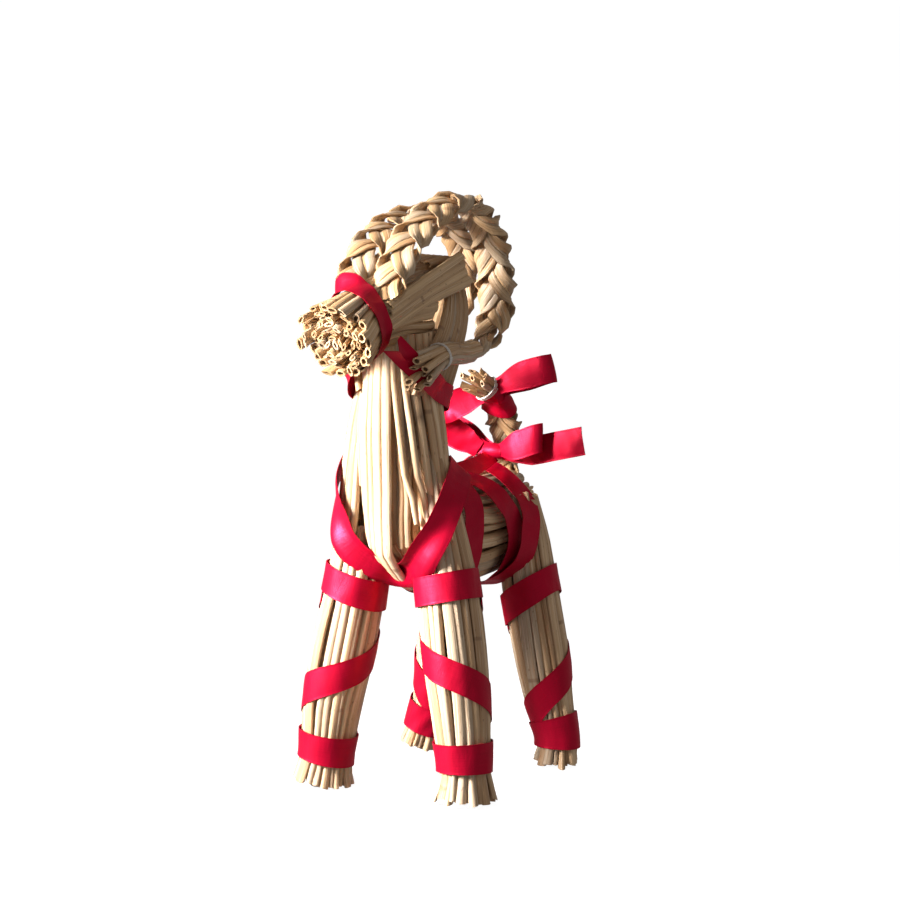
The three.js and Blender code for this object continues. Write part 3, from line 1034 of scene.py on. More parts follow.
class StrawShop:
    """Lays straws. One seed, so that every run gives the same straws."""

    def __init__(self, seed: int = 11) -> None:
        """Starts with no templates.

        Args:
            seed: The seed of all unevenness.
        """
        self.random = np.random.default_rng(seed)
        self._templates: dict[tuple[int, int], StrawTemplate] = {}

    def template(self, sides: int, rings: int) -> StrawTemplate:
        """The template with that many faces round and rows along, made when first needed.

        Args:
            sides: Faces round it.
            rings: Rows along it.

        Returns:
            The template.
        """
        key = (sides, rings)
        if key not in self._templates:
            self._templates[key] = StrawTemplate(sides, rings)
        return self._templates[key]

    def discard_templates(self) -> None:
        """Removes the templates, once every straw is laid."""
        for template in self._templates.values():
            bpy.data.objects.remove(template.object)
        self._templates.clear()

    def lay(self, route: Route, look: StrawLook, sides: int = 10) -> bpy.types.Object:
        """Lays one straw.

        Args:
            route: Its line.
            look: Its marks.
            sides: Faces round it.

        Returns:
            The straw.
        """
        shift = float(self.random.uniform(0, 3))
        return self.template(sides, len(route.centre)).lay(route, look, shift)

    def look(self, low: float = 0.1, high: float = 0.9) -> StrawLook:
        """Marks picked at random.

        Args:
            low: The palest tint.
            high: The deepest.

        Returns:
            The marks.
        """
        pick = self.random.uniform
        tint, slant, slant_turn = float(pick(low, high)), float(pick(-0.35, 0.35)), float(pick(0, 6.28))
        dent = max(0.0, float(pick(-0.18, 0.3)))
        return StrawLook(tint, slant=slant, slant_turn=slant_turn, dent=dent, dent_turn=float(pick(0.5, 2.6)))

    def layer(self, run: Run, spec: Layer) -> list[bpy.types.Object]:
        """Lays a layer of straws round a run, each as wide as its share of the outline.

        Args:
            run: The bundle's line.
            spec: The layer.

        Returns:
            The straws.
        """
        pick = self.random
        weights = pick.uniform(1 - spec.uneven, 1 + spec.uneven, spec.count)
        turn = np.radians(np.linspace(*spec.arc, 721))
        middle = run.pitch(np.full(721, 0.4), turn)
        walked = np.concatenate([[0], np.cumsum((middle[1:] + middle[:-1]) / 2 * np.diff(turn))])
        cuts = np.concatenate([[0], np.cumsum(weights)]) / weights.sum()
        edges = np.interp(cuts * walked[-1], walked, turn)
        if spec.arc[1] - spec.arc[0] == 360:
            edges = edges + pick.uniform(0, 6.28)
        straws = []
        for low, high in zip(edges[:-1], edges[1:]):
            angle = (low + high) / 2
            start, end = spec.reach(angle % (2 * np.pi)) if spec.reach else spec.span
            start -= pick.uniform(-spec.ragged[0], spec.ragged[0]) / run.length
            end += pick.uniform(-spec.ragged[1], spec.ragged[1]) / run.length
            if end - start < 0.01:
                continue
            creases = [c + d for c in spec.creases for d in (-0.004, 0.004)]
            share = np.linspace(start, end, spec.rings - len(creases))
            share = np.sort(np.concatenate([share, np.clip(creases, start + 1e-3, end - 1e-3)]))
            swing = np.sin(2 * np.pi * (share * pick.uniform(0.4, 1.3) + pick.uniform()))
            sway = spec.wander * (high - low) * swing
            angles = angle + sway
            half = run.pitch(share, angles) * (high - low) / 2 * pick.uniform(0.9, 1.06)
            half = np.clip(half, 0.45 * spec.radius, 1.75 * spec.radius)
            thick = np.clip(2 * spec.radius - half, 0.62 * spec.radius, 1.4 * spec.radius)
            half = np.minimum(half, spec.widest * spec.radius)
            sink = spec.hold * (1 + np.sin(2 * np.pi * (share * pick.uniform(0.5, 1.5) + pick.uniform())))
            sink += pick.uniform(0, 2 * spec.hold)
            near_end = np.clip(1 - (share - start) * run.length / spec.splay_length, 0, 1) ** 2
            sink -= spec.splay * pick.uniform(-0.2, 1.0) * near_end
            centre, width_way, thick_way = run.shell(share, angles, -thick - spec.inset - sink)
            look = self.look(*spec.tint)
            look.wall = spec.wall
            straws.append(self.lay(Route(centre, width_way, thick_way, half, thick), look, spec.sides))
        return straws

    def placed(self, run: Run, straw: "PlacedStraw", rings: int = 22, sides: int = 12) -> bpy.types.Object:
        """Lays a straw whose place on a bundle is given.

        Args:
            run: The bundle's line.
            straw: The straw.
            rings: Rows along it.
            sides: Faces round it.

        Returns:
            The straw.
        """
        start, end = straw.places[0][0], straw.places[-1][0]
        creases = [c + d for c, _, _ in straw.places[1:-1] for d in (-0.003, 0.003)]
        share = np.sort(np.concatenate([np.linspace(start, end, rings - len(creases)), creases]))
        rows = np.array(straw.places, float)
        order = np.argsort(rows[:, 0])
        angle = np.radians(np.interp(share, rows[order, 0], rows[order, 1]))
        lift = np.interp(share, rows[order, 0], rows[order, 2])
        half = np.full(rings, straw.radius)
        thick = half * straw.flat
        centre, width_way, thick_way = run.shell(share, angle, lift - thick)
        return self.lay(Route(centre, width_way, thick_way, half, thick), straw.look, sides)

    def single(
        self,
        points: Sequence[Point],
        radius: float,
        rings: int = 10,
        facing: Point = (0, -1, 0),
        flat: float = 1.0,
        look: Optional[StrawLook] = None,
        sides: int = 10,
        smooth: bool = True,
        taper: float = 1.0,
    ) -> bpy.types.Object:
        """Lays one straw through points.

        Args:
            points: What its line passes through.
            radius: Its half-width.
            rings: Rows along it.
            facing: The way of its thickness.
            flat: Its thickness over its width.
            look: Its marks, or None for random ones.
            sides: Faces round it.
            smooth: False for straight stretches with corners.
            taper: Its width at the far end over that at the start.

        Returns:
            The straw.
        """
        centre = evenly(points, rings, smooth)
        along = gradient(centre)
        thick_way = unit(np.array(facing, float) - along * (along @ np.array(facing, float))[:, None])
        half = radius * np.linspace(1, taper, rings)
        route = Route(centre, np.cross(along, thick_way), thick_way, half, half * flat)
        return self.lay(route, look or self.look(), sides)


# ---- Bundles ----


@dataclass
class Leg:
    """A leg: a bundle of straws from its cut sole up to the shoulder or the flank."""

    name: str
    run: Run
    side: Side
    body_height: float
    straws: int = 19
    straw_radius: float = 2.0

    def _reach(self, angle: float) -> tuple[float, float]:
        """How far a straw at an angle runs: the inner ones stop where the body begins.

        Args:
            angle: The straw's place round the leg in radians.

        Returns:
            The shares of the length at its ends.
        """
        inward = math.cos(angle) * self.side.value < -0.25
        return (0.0, self.run.share_at(2, self.body_height) if inward else 1.0)

    def build(self, shop: StrawShop, finishes: Finishes) -> bpy.types.Object:
        """Lays the leg's straws.

        Args:
            shop: Where straws are laid.
            finishes: The materials.

        Returns:
            The piece.
        """
        sole = self.run.station(0) + 1.0 / self.run.length
        short = (sole, sole + 22 / self.run.length)
        layers = [
            Layer(
                self.straws, 0, self.straw_radius, ragged=(1.4, 3), reach=self._from_sole, rings=18, splay=2.4
            ),
            # The inner layers take deeper tints than the outer straws: painted shade for the gaps between
            # them and the depth of the cut sole.
            Layer(13, 3.7, self.straw_radius, (sole, 0.62), (1.2, 3), sides=7, rings=9, tint=(0.5, 1.0)),
            Layer(8, 7.4, self.straw_radius, short, (1.4, 3), sides=7, rings=4, tint=(0.4, 1.0)),
            Layer(3, 10.6, self.straw_radius, short, (1.4, 3), sides=7, rings=4, tint=(0.4, 1.0)),
        ]
        straws = [straw for layer in layers for straw in shop.layer(self.run, layer)]
        return finishes.dress(join(straws, f"{self.name}_straws"), Slot.LEG, self.name)

    def _from_sole(self, angle: float) -> tuple[float, float]:
        """The reach of an outer straw, which starts on the ground.

        Args:
            angle: The straw's place round the leg in radians.

        Returns:
            The shares of the length at its ends.
        """
        return (1.0 / self.run.length, self._reach(angle)[1])


def front_leg_run(side: Side, knee: float, shoulder: Sequence[Sequence[float]]) -> Run:
    """The line of a front leg, which runs on up the side of the neck as the shoulder.

    Args:
        side: Which leg.
        knee: How far its lower half stands in from a straight line.
        shoulder: The stations above the body's belly.

    Returns:
        The run.
    """
    x = side.value
    return Run(
        [
            (x * 36, -41.8, 1.2, 13.4),
            (x * (36 - knee), -41.2, 13, 11.7),
            (x * (33.5 - knee), -39.8, 36, 13.5),
            (x * (28.7 - 0.6 * knee), -36.8, 62, 14.7),
            (x * 22.9, -33, 92, 14),
            *shoulder,
        ]
    )


LEFT_SHOULDER = (
    (17.2, -30.5, 118, 11.8),
    (12, -29.8, 140, 9.8),
    (9.5, -31, 162, 8.5),
    (7, -32.5, 184, 6.5),
)
RIGHT_SHOULDER = (
    (-20.8, -30, 118, 12.6),
    (-19.3, -29.5, 140, 11.8),
    (-16.8, -31, 162, 10),
    (-13, -32.5, 184, 7.4),
)


def rear_leg_run(side: Side, knee: float) -> Run:
    """The line of a rear leg, which ends against the flank.

    Args:
        side: Which leg.
        knee: How far its lower half stands in from a straight line.

    Returns:
        The run.
    """
    x = side.value
    return Run(
        [
            (x * (36 - 0.3 * knee), 41.8, 1.2, 10),
            (x * (36.7 - knee), 41.8, 12, 9.7),
            (x * (32 - 1.15 * knee), 41.8, 29, 11.4),
            (x * (28 - knee), 41.8, 50, 12.9),
            (x * (22.9 - 0.5 * knee), 41.3, 78, 12.8),
            (x * 20, 40.3, 100, 12.2),
            (x * 18, 39.3, 121, 9),
        ]
    )


@dataclass
class Body:
    """The torso and neck: one bundle that lies along the back, creases twice at the chest and goes up."""

    straw_radius: float = 2.3
    stations: tuple[tuple[float, ...], ...] = (
        (0, 58, 109, 18, 21.5),
        (0, 36, 108, 20.5, 24),
        (0, 14, 108, 20.5, 25),
        (0, -6, 110, 19.5, 27),
        (0, -18.2, 113.5, 17, 25.9),
        (0, -28.2, 123.2, 18, 24.4),
        (0, -29.2, 137, 20, 19.5),
        (0, -32, 162, 19.5, 18.5),
        (0, -33, 182, 17.5, 17.5),
        (0, -33, 204, 16, 16),
    )
    turns: tuple[float, ...] = (0, 0, 0, 0, 22.1, 48.4, 76, 90, 90, 90)

    def __post_init__(self) -> None:
        """Makes the run."""
        self.run = Run(self.stations, self.turns)

    def _chest(self) -> list[PlacedStraw]:
        """The straws at the front, each where it lies: most crease at the chest and meet under it.

        Returns:
            The straws.
        """
        belly, tip, crease = self.run.station(3), self.run.station(4), self.run.station(5)
        neck, top = self.run.station(7), 1.0

        def under(
            angle: float, upper: float, radius: float, tint: float, lift: float, flat: float
        ) -> PlacedStraw:
            """A straw that creases at the chest and closes in below it.

            Args:
                angle: Its place round the bundle at the crease, in degrees.
                upper: Its place on the neck.
                radius: Its half-width.
                tint: Its shade.
                lift: How far it stands out.
                flat: Its thickness as a share of its width.

            Returns:
                The straw.
            """
            low = 90 + 0.55 * (angle - 90)
            rows = (
                (belly, low, -1.2),
                (tip, low, lift),
                (crease, angle, lift),
                (neck, upper, lift),
                (top, upper, 0.0),
            )
            return PlacedStraw(rows, radius, StrawLook(tint, dent=0.16, dent_turn=1.3), flat)

        def short(
            end: float, low: float, upper: float, radius: float, look: StrawLook, lift: float
        ) -> PlacedStraw:
            """A straw that is cut off on the chest.

            Args:
                end: The share of the run at its cut end.
                low: Its place round the bundle there, in degrees.
                upper: Its place on the neck.
                radius: Its half-width.
                look: Its marks.
                lift: How far it stands out.

            Returns:
                The straw.
            """
            rows = ((end, low, lift), (0.5 * (end + neck), 0.5 * (low + upper), lift), (top, upper, -0.5))
            return PlacedStraw(rows, radius, look, 0.85)

        fallen = crease + 6 / self.run.length
        return [
            under(146, 143, 1.8, 0.25, 0.0, 0.9),
            under(133, 129, 1.55, 0.45, 0.5, 0.95),
            under(122, 119, 1.35, 0.1, 0.9, 0.95),
            under(113, 110, 1.7, 0.5, 0.6, 0.9),
            under(100, 97, 2.3, 0.05, 1.1, 0.6),
            under(87, 83, 2.2, 0.12, 1.0, 0.62),
            short(fallen, 46, 76, 1.35, StrawLook(0.5, slant=0.9, slant_turn=1.0), 1.8),
            short(fallen - 0.01, 30, 60, 1.5, StrawLook(0.2, slant=0.4), 0.9),
            short(crease, 66, 69, 1.3, StrawLook(0.9), -2.4),
            short(crease, 56, 66, 1.2, StrawLook(0.95), -2.0),
            short(crease - 0.02, 14, 44, 1.9, StrawLook(0.45, 0.75, 0.62, 0.035, dent=0.2), 0.4),
            short(crease - 0.03, 0, 52, 1.5, StrawLook(0.8), -0.6),
            short(crease - 0.02, -8, 30, 1.8, StrawLook(0.62), 0.1),
            short(crease - 0.03, -20, 16, 1.8, StrawLook(0.3), -0.1),
            short(fallen + 0.03, 160, 156, 1.5, StrawLook(0.3, slant=0.5), 0.9),
            short(fallen + 0.05, 152, 150, 1.3, StrawLook(0.6, slant=0.5), 0.8),
        ]

    def build(self, shop: StrawShop, finishes: Finishes) -> bpy.types.Object:
        """Lays the body's straws, with the shorter ones inside its cut end and those loose on the chest.

        Args:
            shop: Where straws are laid.
            finishes: The materials.

        Returns:
            The piece.
        """
        creases = (self.run.station(3), self.run.station(4), self.run.station(5))
        rump, chest = (0.0, 0.12), self.run.station(3)
        wide = self.straw_radius
        layers = [
            Layer(20, 0, wide, (0, 1), (1.5, 0), rings=28, creases=creases, tint=(0, 0.8), arc=(154, 368)),
            Layer(8, 0, wide, (0, chest), (1.5, 2), rings=14, tint=(0.2, 0.9), arc=(8, 154)),
            # The inner layers take deeper tints than the outer straws: painted shade for the gaps between
            # them and the depth of the cut rump.
            Layer(20, 4.6, wide, (0, 1), (1.5, 0), sides=7, rings=16, creases=creases, tint=(0.6, 1.1)),
            Layer(15, 8.8, wide, rump, (1.8, 2), sides=7, rings=4, tint=(0.3, 1.0)),
            Layer(9, 13.0, wide, rump, (1.8, 2), sides=7, rings=4, tint=(0.3, 1.0)),
            Layer(3, 17.0, wide, rump, (1.8, 2), sides=7, rings=4, tint=(0.3, 1.0)),
        ]
        straws = [straw for layer in layers for straw in shop.layer(self.run, layer)]
        straws += [shop.placed(self.run, straw) for straw in self._chest()]
        return finishes.dress(join(straws, "torso_and_neck_straws"), Slot.PALE, "torso_and_neck")


@dataclass
class Head:
    """The head: straws folded forward at the nape and cut at the muzzle, with the tuft beside the horn."""

    straws: int = 23
    straw_radius: float = 2.05
    stations: tuple[tuple[float, ...], ...] = (
        (0, 4.5, 219.5, 8, 8.5),
        (0, -1, 218.5, 14, 15),
        (0, -25, 214.8, 17, 19),
        (0, -50, 214.5, 15.5, 16.8),
        (0, -66, 212, 13.6, 16.2),
        (-2, -84.5, 206, 20, 18),
    )

    def __post_init__(self) -> None:
        """Makes the run."""
        self.run = Run(self.stations)

    def _reach(self, angle: float) -> tuple[float, float]:
        """How far a straw at an angle runs: those on top start at the nape, the others behind the jaw.

        Args:
            angle: The straw's place round the head in radians.

        Returns:
            The shares of the length at its ends.
        """
        on_top = math.sin(angle) < -0.55
        return (self.run.share_at(1, -10 if on_top else -30), 1.0)

    def _cheeks(self, shop: StrawShop) -> list[bpy.types.Object]:
        """The neck's straws that rise at the sides and lean back to the nape, and fold over it.

        Args:
            shop: Where straws are laid.

        Returns:
            The straws.
        """
        straws = []
        for side in Side:
            for i in range(9):
                back = i / 8
                x = side.value * (15.4 + 1.6 * math.sin(math.pi * (0.2 + 0.6 * back)))
                low = -45 + 29 * back
                high = -14 + 12 * back + float(shop.random.uniform(-1.2, 1.2))
                points = [
                    (x * 0.84, low, 178),
                    (x * 1.04, low + 0.12 * (high - low), 191),
                    (x * 1.03, low + 0.62 * (high - low), 208),
                    (side.value * 11.2, high, 221.5),
                    (side.value * 8.4, high - 6, 229),
                    (side.value * 6, high - 24, 230),
                ]
                half = float(shop.random.uniform(1.7, 2.5))
                # Deep tints for the cheek straws: partly their own browner tone, partly painted shade for
                # cheeks that sit in shadow.
                straws.append(shop.single(points, half, 16, (side.value, 0.2, 0.2), 0.8, shop.look(0.8, 1.3)))
        for i in range(7):
            x = -9.6 + 3.2 * i
            points = [
                (x, -15.5, 172),
                (x, -13.5, 192),
                (x, -5.5, 208),
                (x * 0.97, 2.2, 219.5),
                (x * 0.93, -0.5, 228.5),
                (x * 0.9, -11, 232.2),
                (x * 0.9, -26, 231.8),
            ]
            straws.append(shop.single(points, 2.25, 18, (0, 1, 0.3), 0.85, shop.look(0.4, 0.9)))
        return straws

    def _tuft(self, shop: StrawShop) -> list[bpy.types.Object]:
        """Straws left over from plaiting the left horn, lying back along the head with their ends cut.

        Args:
            shop: Where straws are laid.

        Returns:
            The straws.
        """
        straws = []
        for i in range(8):
            low, inner = 1.9 * i, (i % 2) * 1.6
            points = [
                (13.6 - inner, -66, 219.5 - 0.8 * low),
                (15.6 - inner, -38, 227.5 - 0.8 * low),
                (13.4 - inner + 0.35 * low, -4.5 - 0.9 * (i % 3), 233.5 - 0.85 * low),
            ]
            tint = 0.05 + 0.5 * ((i * 0.37) % 1)
            look = StrawLook(tint, slant=0.5, slant_turn=float(i), dent=0.25, dent_turn=1.2)
            straws.append(shop.single(points, 2.3, 8, (1, 0, 0.6), 0.6, look))
        return straws

    def build(self, shop: StrawShop, finishes: Finishes) -> bpy.types.Object:
        """Lays the head's straws.

        Args:
            shop: Where straws are laid.
            finishes: The materials.

        Returns:
            The piece.
        """
        face = (0.70, 1.0)
        outer = Layer(
            self.straws, 0, self.straw_radius, ragged=(1, 3), reach=self._reach, rings=14, widest=1.3
        )
        layers = [outer]
        for count, inset in ((23, 3.3), (19, 6.2), (15, 9.0), (11, 11.8), (7, 14.4), (3, 16.6)):
            tint = (-0.1, 0.8)
            layers.append(
                Layer(count, inset, 1.7, face, (1, 3.6), 0.7, 0.6, 8, 6, tint, widest=1.3, wall=1.0)
            )
        straws = [straw for layer in layers for straw in shop.layer(self.run, layer)]
        straws += self._cheeks(shop) + self._tuft(shop)
        return finishes.dress(join(straws, "head_straws"), Slot.PLAITED, "head")


# ---- Plaits ----


@dataclass
class Plait:
    """A three-strand plait of flattened straws whose ends run on as a tuft, tied and cut."""

    name: str
    stations: Sequence[Sequence[float]]
    plaited_to: float
    period: float = 52.0
    swing: float = 0.72
    lift: float = 0.44
    strand: int = 3
    spacing: float = 2.8
    straw_half_width: float = 2.45
    straw_flat: float = 0.30
    crisp: float = 2.4
    extra: int = 3
    loose_radius: float = 1.75
    phase: float = 0.0
    rings: int = 120
    ragged: float = 4.0
    start: float = 0.0
    tint: tuple[float, float] = (0.1, 0.8)

    def __post_init__(self) -> None:
        """Makes the run."""
        self.run = Run(self.stations)

    def _bunch(self, index: int, total: int) -> tuple[float, float]:
        """A straw's place in the round tuft.

        Args:
            index: The straw's number.
            total: How many there are.

        Returns:
            Its place across and out, as shares of the tuft's half-sizes.
        """
        inner = total // 4
        count, reach = (inner, 0.28) if index < inner else (total - inner, 0.74)
        turn = 2 * math.pi * (index if index < inner else index - inner) / count + 0.4
        return (reach * math.cos(turn), reach * math.sin(turn))

    def _route(self, strand: int, straw: int, end: float) -> Route:
        """The line of one straw.

        Args:
            strand: The strand's number.
            straw: The straw's number in its strand.
            end: The share of the length at its cut end.

        Returns:
            The route.
        """
        share = np.linspace(self.start, end, self.rings)
        s = self.run.section(share)
        turn = self.phase + 2 * np.pi * (share * self.run.length / self.period + strand / 3)
        x = self.swing * s.wide * (np.sin(turn) - np.sin(3 * turn) / 9) * 0.9
        z = -self.lift * s.deep * np.sin(2 * turn)
        core = s.centre + s.across * x[:, None] + s.out * z[:, None]
        along = gradient(core)
        fold = np.pi / 2 * (1 + np.tanh(self.crisp * np.cos(turn)) / math.tanh(self.crisp))[:, None]
        face = s.out * np.cos(fold) + s.across * np.sin(fold)
        normal = unit(face - along * np.sum(along * face, 1, keepdims=True))
        side = np.cross(normal, along)
        rank = straw - (self.strand - 1) / 2
        room = np.minimum(s.wide / 9.0, 1.0) * self.spacing
        plaited = core + side * (rank * room)[:, None] + normal * (0.3 * (-1) ** straw)
        total = 3 * self.strand + self.extra
        across, out = self._bunch((strand + 3 * straw) % total, total)
        loose = s.centre + s.across * (across * s.wide)[:, None] + s.out * (out * s.deep)[:, None]
        freed = smoothstep(share, self.plaited_to - 0.05, self.plaited_to + 0.05)[:, None]
        half = self.straw_half_width * np.minimum(1.0, 0.35 + 0.65 * s.wide / 9.0)
        half_width = half * (1 - freed[:, 0]) + self.loose_radius * freed[:, 0]
        flat = self.straw_flat * (1 - freed[:, 0]) + 0.92 * freed[:, 0]
        return Route(plaited * (1 - freed) + loose * freed, side, normal, half_width, half_width * flat)

    def _extra(self, index: int, end: float) -> Route:
        """The line of a straw that only fills the tied end.

        Args:
            index: The straw's number among these.
            end: The share of the length at its cut end.

        Returns:
            The route.
        """
        share = np.linspace(self.plaited_to + 0.03, end, 24)
        s = self.run.section(share)
        total = 3 * self.strand + self.extra
        across, out = self._bunch(3 * self.strand + index, total)
        centre = s.centre + s.across * (across * s.wide)[:, None] + s.out * (out * s.deep)[:, None]
        half = np.full(24, self.loose_radius)
        return Route(centre, s.across, s.out, half, half * 0.92)

    def straws(self, shop: StrawShop) -> list[bpy.types.Object]:
        """Lays the plait's straws.

        Args:
            shop: Where straws are laid.

        Returns:
            The straws.
        """
        made = []
        for strand in range(3):
            for straw in range(self.strand):
                end = 1 + float(shop.random.uniform(-1, 0.35)) * self.ragged / self.run.length
                made.append(shop.lay(self._route(strand, straw, end), shop.look(*self.tint), 8))
        for index in range(self.extra):
            end = 1 + float(shop.random.uniform(-1, 0.35)) * self.ragged / self.run.length
            made.append(shop.lay(self._extra(index, end), shop.look(*self.tint), 8))
        return made

    def build(self, shop: StrawShop, finishes: Finishes) -> bpy.types.Object:
        """Builds the piece.

        Args:
            shop: Where straws are laid.
            finishes: The materials.

        Returns:
            The piece.
        """
        piece = join(self.straws(shop), f"{self.name}_plait")
        return finishes.dress(piece, Slot.PLAITED, self.name)


def left_horn() -> Plait:
    """The left horn: a hoop up from the forehead, over and down behind the head, and forward to its tie."""
    path = [
        (9.2, -64, 221, 7.6, 5.4),
        (9.4, -46, 242, 9.4, 5.4),
        (10.2, -22, 254.5, 10, 5.4),
        (10.8, -3, 257, 10, 5.4),
        (11, 12, 250.3, 9.8, 5.4),
        (11, 24.5, 236.5, 9.8, 5.4),
        (11.2, 29, 219, 10, 5.4),
        (11.6, 28.5, 204, 8.6, 5.4),
        (13.5, 16, 193, 5.6, 5.4),
        (17.5, -9, 191.8, 4.3, 4.3),
        (22.4, -37, 195, 4.8, 4.8),
        (23.5, -63, 189.5, 6.5, 11.5),
    ]
    return Plait("left_horn", path, 0.70, ragged=7.0, loose_radius=1.95)


def right_horn() -> Plait:
    """The right horn, lower and further back, its hoop twisted narrow at the bottom."""
    path = [
        (-8.4, -61, 226, 8, 5.4),
        (-9.3, -46, 239.5, 9.4, 5.4),
        (-10.2, -27, 247, 10, 5.4),
        (-10.8, -5, 249.5, 10, 5.4),
        (-11, 18, 247, 9.5, 5.4),
        (-11, 36.5, 233, 9, 5.4),
        (-11.2, 40.5, 216, 7.4, 5.4),
        (-12, 36, 201, 6, 5.4),
        (-13.5, 23, 192.5, 5, 5),
        (-17.5, 0, 192, 4.3, 4.3),
        (-22.4, -28, 194, 4.3, 4.3),
        (-24, -48, 196, 5.5, 9.5),
    ]
    return Plait("right_horn", path, 0.72, ragged=8.0, phase=1.1, tint=(0.5, 1.0))


def tail() -> Plait:
    """The tail: a short plait that rises from the rump and curls forward to a fan of cut straws."""
    path = [
        (0, 53, 124, 7, 4.5),
        (0, 60.5, 138, 8.2, 4.6),
        (0, 56, 151, 8.2, 4.6),
        (0, 45.5, 165, 5, 4.6),
        (-5, 36, 172.5, 9.5, 7),
    ]
    return Plait("tail", path, 0.78, period=44, phase=2.2, extra=1, rings=60, ragged=4.0, tint=(0.2, 0.8))


# ---- Ribbons ----


class Cloth:
    """What ribbon lies on: a tree of the faces laid so far, in millimetres from the stance's middle."""

    def __init__(self, pieces: Iterable[bpy.types.Object]) -> None:
        """Builds the tree.

        Args:
            pieces: What the ribbon lies on.
        """
        rows: list[Array] = []
        faces: list[list[int]] = []
        base = 0
        for piece in pieces:
            rows.append(STANCE.millimetres(coordinates(piece.data)))
            faces += [[base + v for v in face.vertices] for face in piece.data.polygons]
            base += len(rows[-1])
        self.tree = BVHTree.FromPolygons([Vector(row) for row in np.vstack(rows)], faces)

    def heights(self, points: Array, outward: Array, reach: float, slack: float) -> Array:
        """How far the surface stands above each point.

        Args:
            points: A grid of points.
            outward: The outward direction at each.
            reach: How far above a point to look, in millimetres.
            slack: How far below.

        Returns:
            A grid of heights, at least -slack.
        """
        shape = points.shape[:-1]
        found = np.full(int(np.prod(shape)), -slack)
        for i, (point, way) in enumerate(zip(points.reshape(-1, 3), outward.reshape(-1, 3))):
            start = Vector(point + way * reach)
            hit = self.tree.ray_cast(start, Vector(-way), reach + slack)
            if hit[0] is not None:
                found[i] = reach - hit[3]
        return found.reshape(shape)


def taut(heights: Array, along: int, across: int = 1) -> Array:
    """A smooth cover over a grid of heights, never under it: what a tight ribbon does over straws.

    Args:
        heights: Rows along the ribbon, columns across it.
        along: How many rows to each side it bridges.
        across: How many columns.

    Returns:
        The cover.
    """

    def windows(grid: Array, reach: int, axis: int) -> Array:
        """The values near each place, on a new last axis.

        Args:
            grid: The values.
            reach: How many neighbours on each side count.
            axis: The way they are taken.

        Returns:
            The values.
        """
        pad = [(reach, reach) if a == axis else (0, 0) for a in (0, 1)]
        return np.lib.stride_tricks.sliding_window_view(np.pad(grid, pad, mode="edge"), 2 * reach + 1, axis)

    top = windows(windows(heights, along, 0).max(-1), across, 1).max(-1)
    return windows(windows(top, along, 0).mean(-1), across, 1).mean(-1)


@dataclass
class Band:
    """A stretch of ribbon as a grid of points and outward directions, in millimetres."""

    points: Array
    outward: Array

    @classmethod
    def wound(
        cls, run: Run, share: Array, angle: Array, width: Union[float, Array], columns: int = 9
    ) -> "Band":
        """A stretch that winds on a bundle.

        Args:
            run: The bundle.
            share: Its middle line's shares of the bundle's length.
            angle: The middle line's angles round the bundle.
            width: The ribbon's width, one value or one for each place.
            columns: Points across it.

        Returns:
            The band.
        """
        pitch = run.pitch(share, angle)
        dx, dy = pitch * np.gradient(angle), run.length * np.gradient(share)
        size = np.hypot(dx, dy)
        grid, ways = [], []
        for v in np.multiply.outer(np.linspace(-0.5, 0.5, columns), width):
            moved = share + v * dx / size / run.length
            point, _, outward = run.shell(moved, angle - v * dy / size / pitch, 0 * share)
            grid.append(point)
            ways.append(outward)
        return cls(np.stack(grid, 1), np.stack(ways, 1))

    @classmethod
    def through(
        cls, points: Array, outward: Array, width: Union[float, Array], columns: int = 9, curl: float = 0.0
    ) -> "Band":
        """A stretch along a line in space.

        Args:
            points: The middle line.
            outward: The way its face looks at each point.
            width: Its width, one value or one for each point.
            columns: Points across it.
            curl: How far its edges bend back, in millimetres.

        Returns:
            The band.
        """
        along = gradient(points)
        face = unit(outward - along * np.sum(along * outward, 1, keepdims=True))
        side = np.cross(face, along)
        v = np.linspace(-0.5, 0.5, columns)[None, :, None]
        wide = np.broadcast_to(np.asarray(width, float), len(points))[:, None, None]
        grid = points[:, None] + side[:, None] * v * wide - face[:, None] * (4 * v * v) * curl
        return cls(grid, np.broadcast_to(face[:, None], grid.shape).copy())

    def on(self, cloth: Cloth, clear: float, along: int = 4, reach: float = 7, slack: float = 1.5) -> "Band":
        """The same stretch pulled tight over what it lies on.

        Args:
            cloth: What it lies on.
            clear: Millimetres between them.
            along: How many rows it bridges.
            reach: How far it may be pushed out.
            slack: How far it may fall in.

        Returns:
            The band.
        """
        lift = taut(cloth.heights(self.points, self.outward, reach, slack), along) + clear
        return Band(self.points + self.outward * lift[..., None], self.outward)

    def rippled(self, shop: StrawShop, size: float) -> "Band":
        """The same stretch with small creases along it.

        Args:
            shop: Where the unevenness comes from.
            size: The creases' height in millimetres.

        Returns:
            The band.
        """
        rows, columns = self.points.shape[:2]
        wave = sum(
            np.sin(np.arange(rows)[:, None] * f + np.arange(columns)[None] * g + p)
            for f, g, p in shop.random.uniform((0.15, -0.9, 0), (0.75, 0.9, 6.28), (4, 3))
        )
        return Band(self.points + self.outward * (size * (wave / 4 + 0.5))[..., None], self.outward)

    def length(self) -> float:
        """The middle line's length in millimetres."""
        middle = self.points[:, self.points.shape[1] // 2]
        return float(np.linalg.norm(np.diff(middle, axis=0), axis=1).sum())


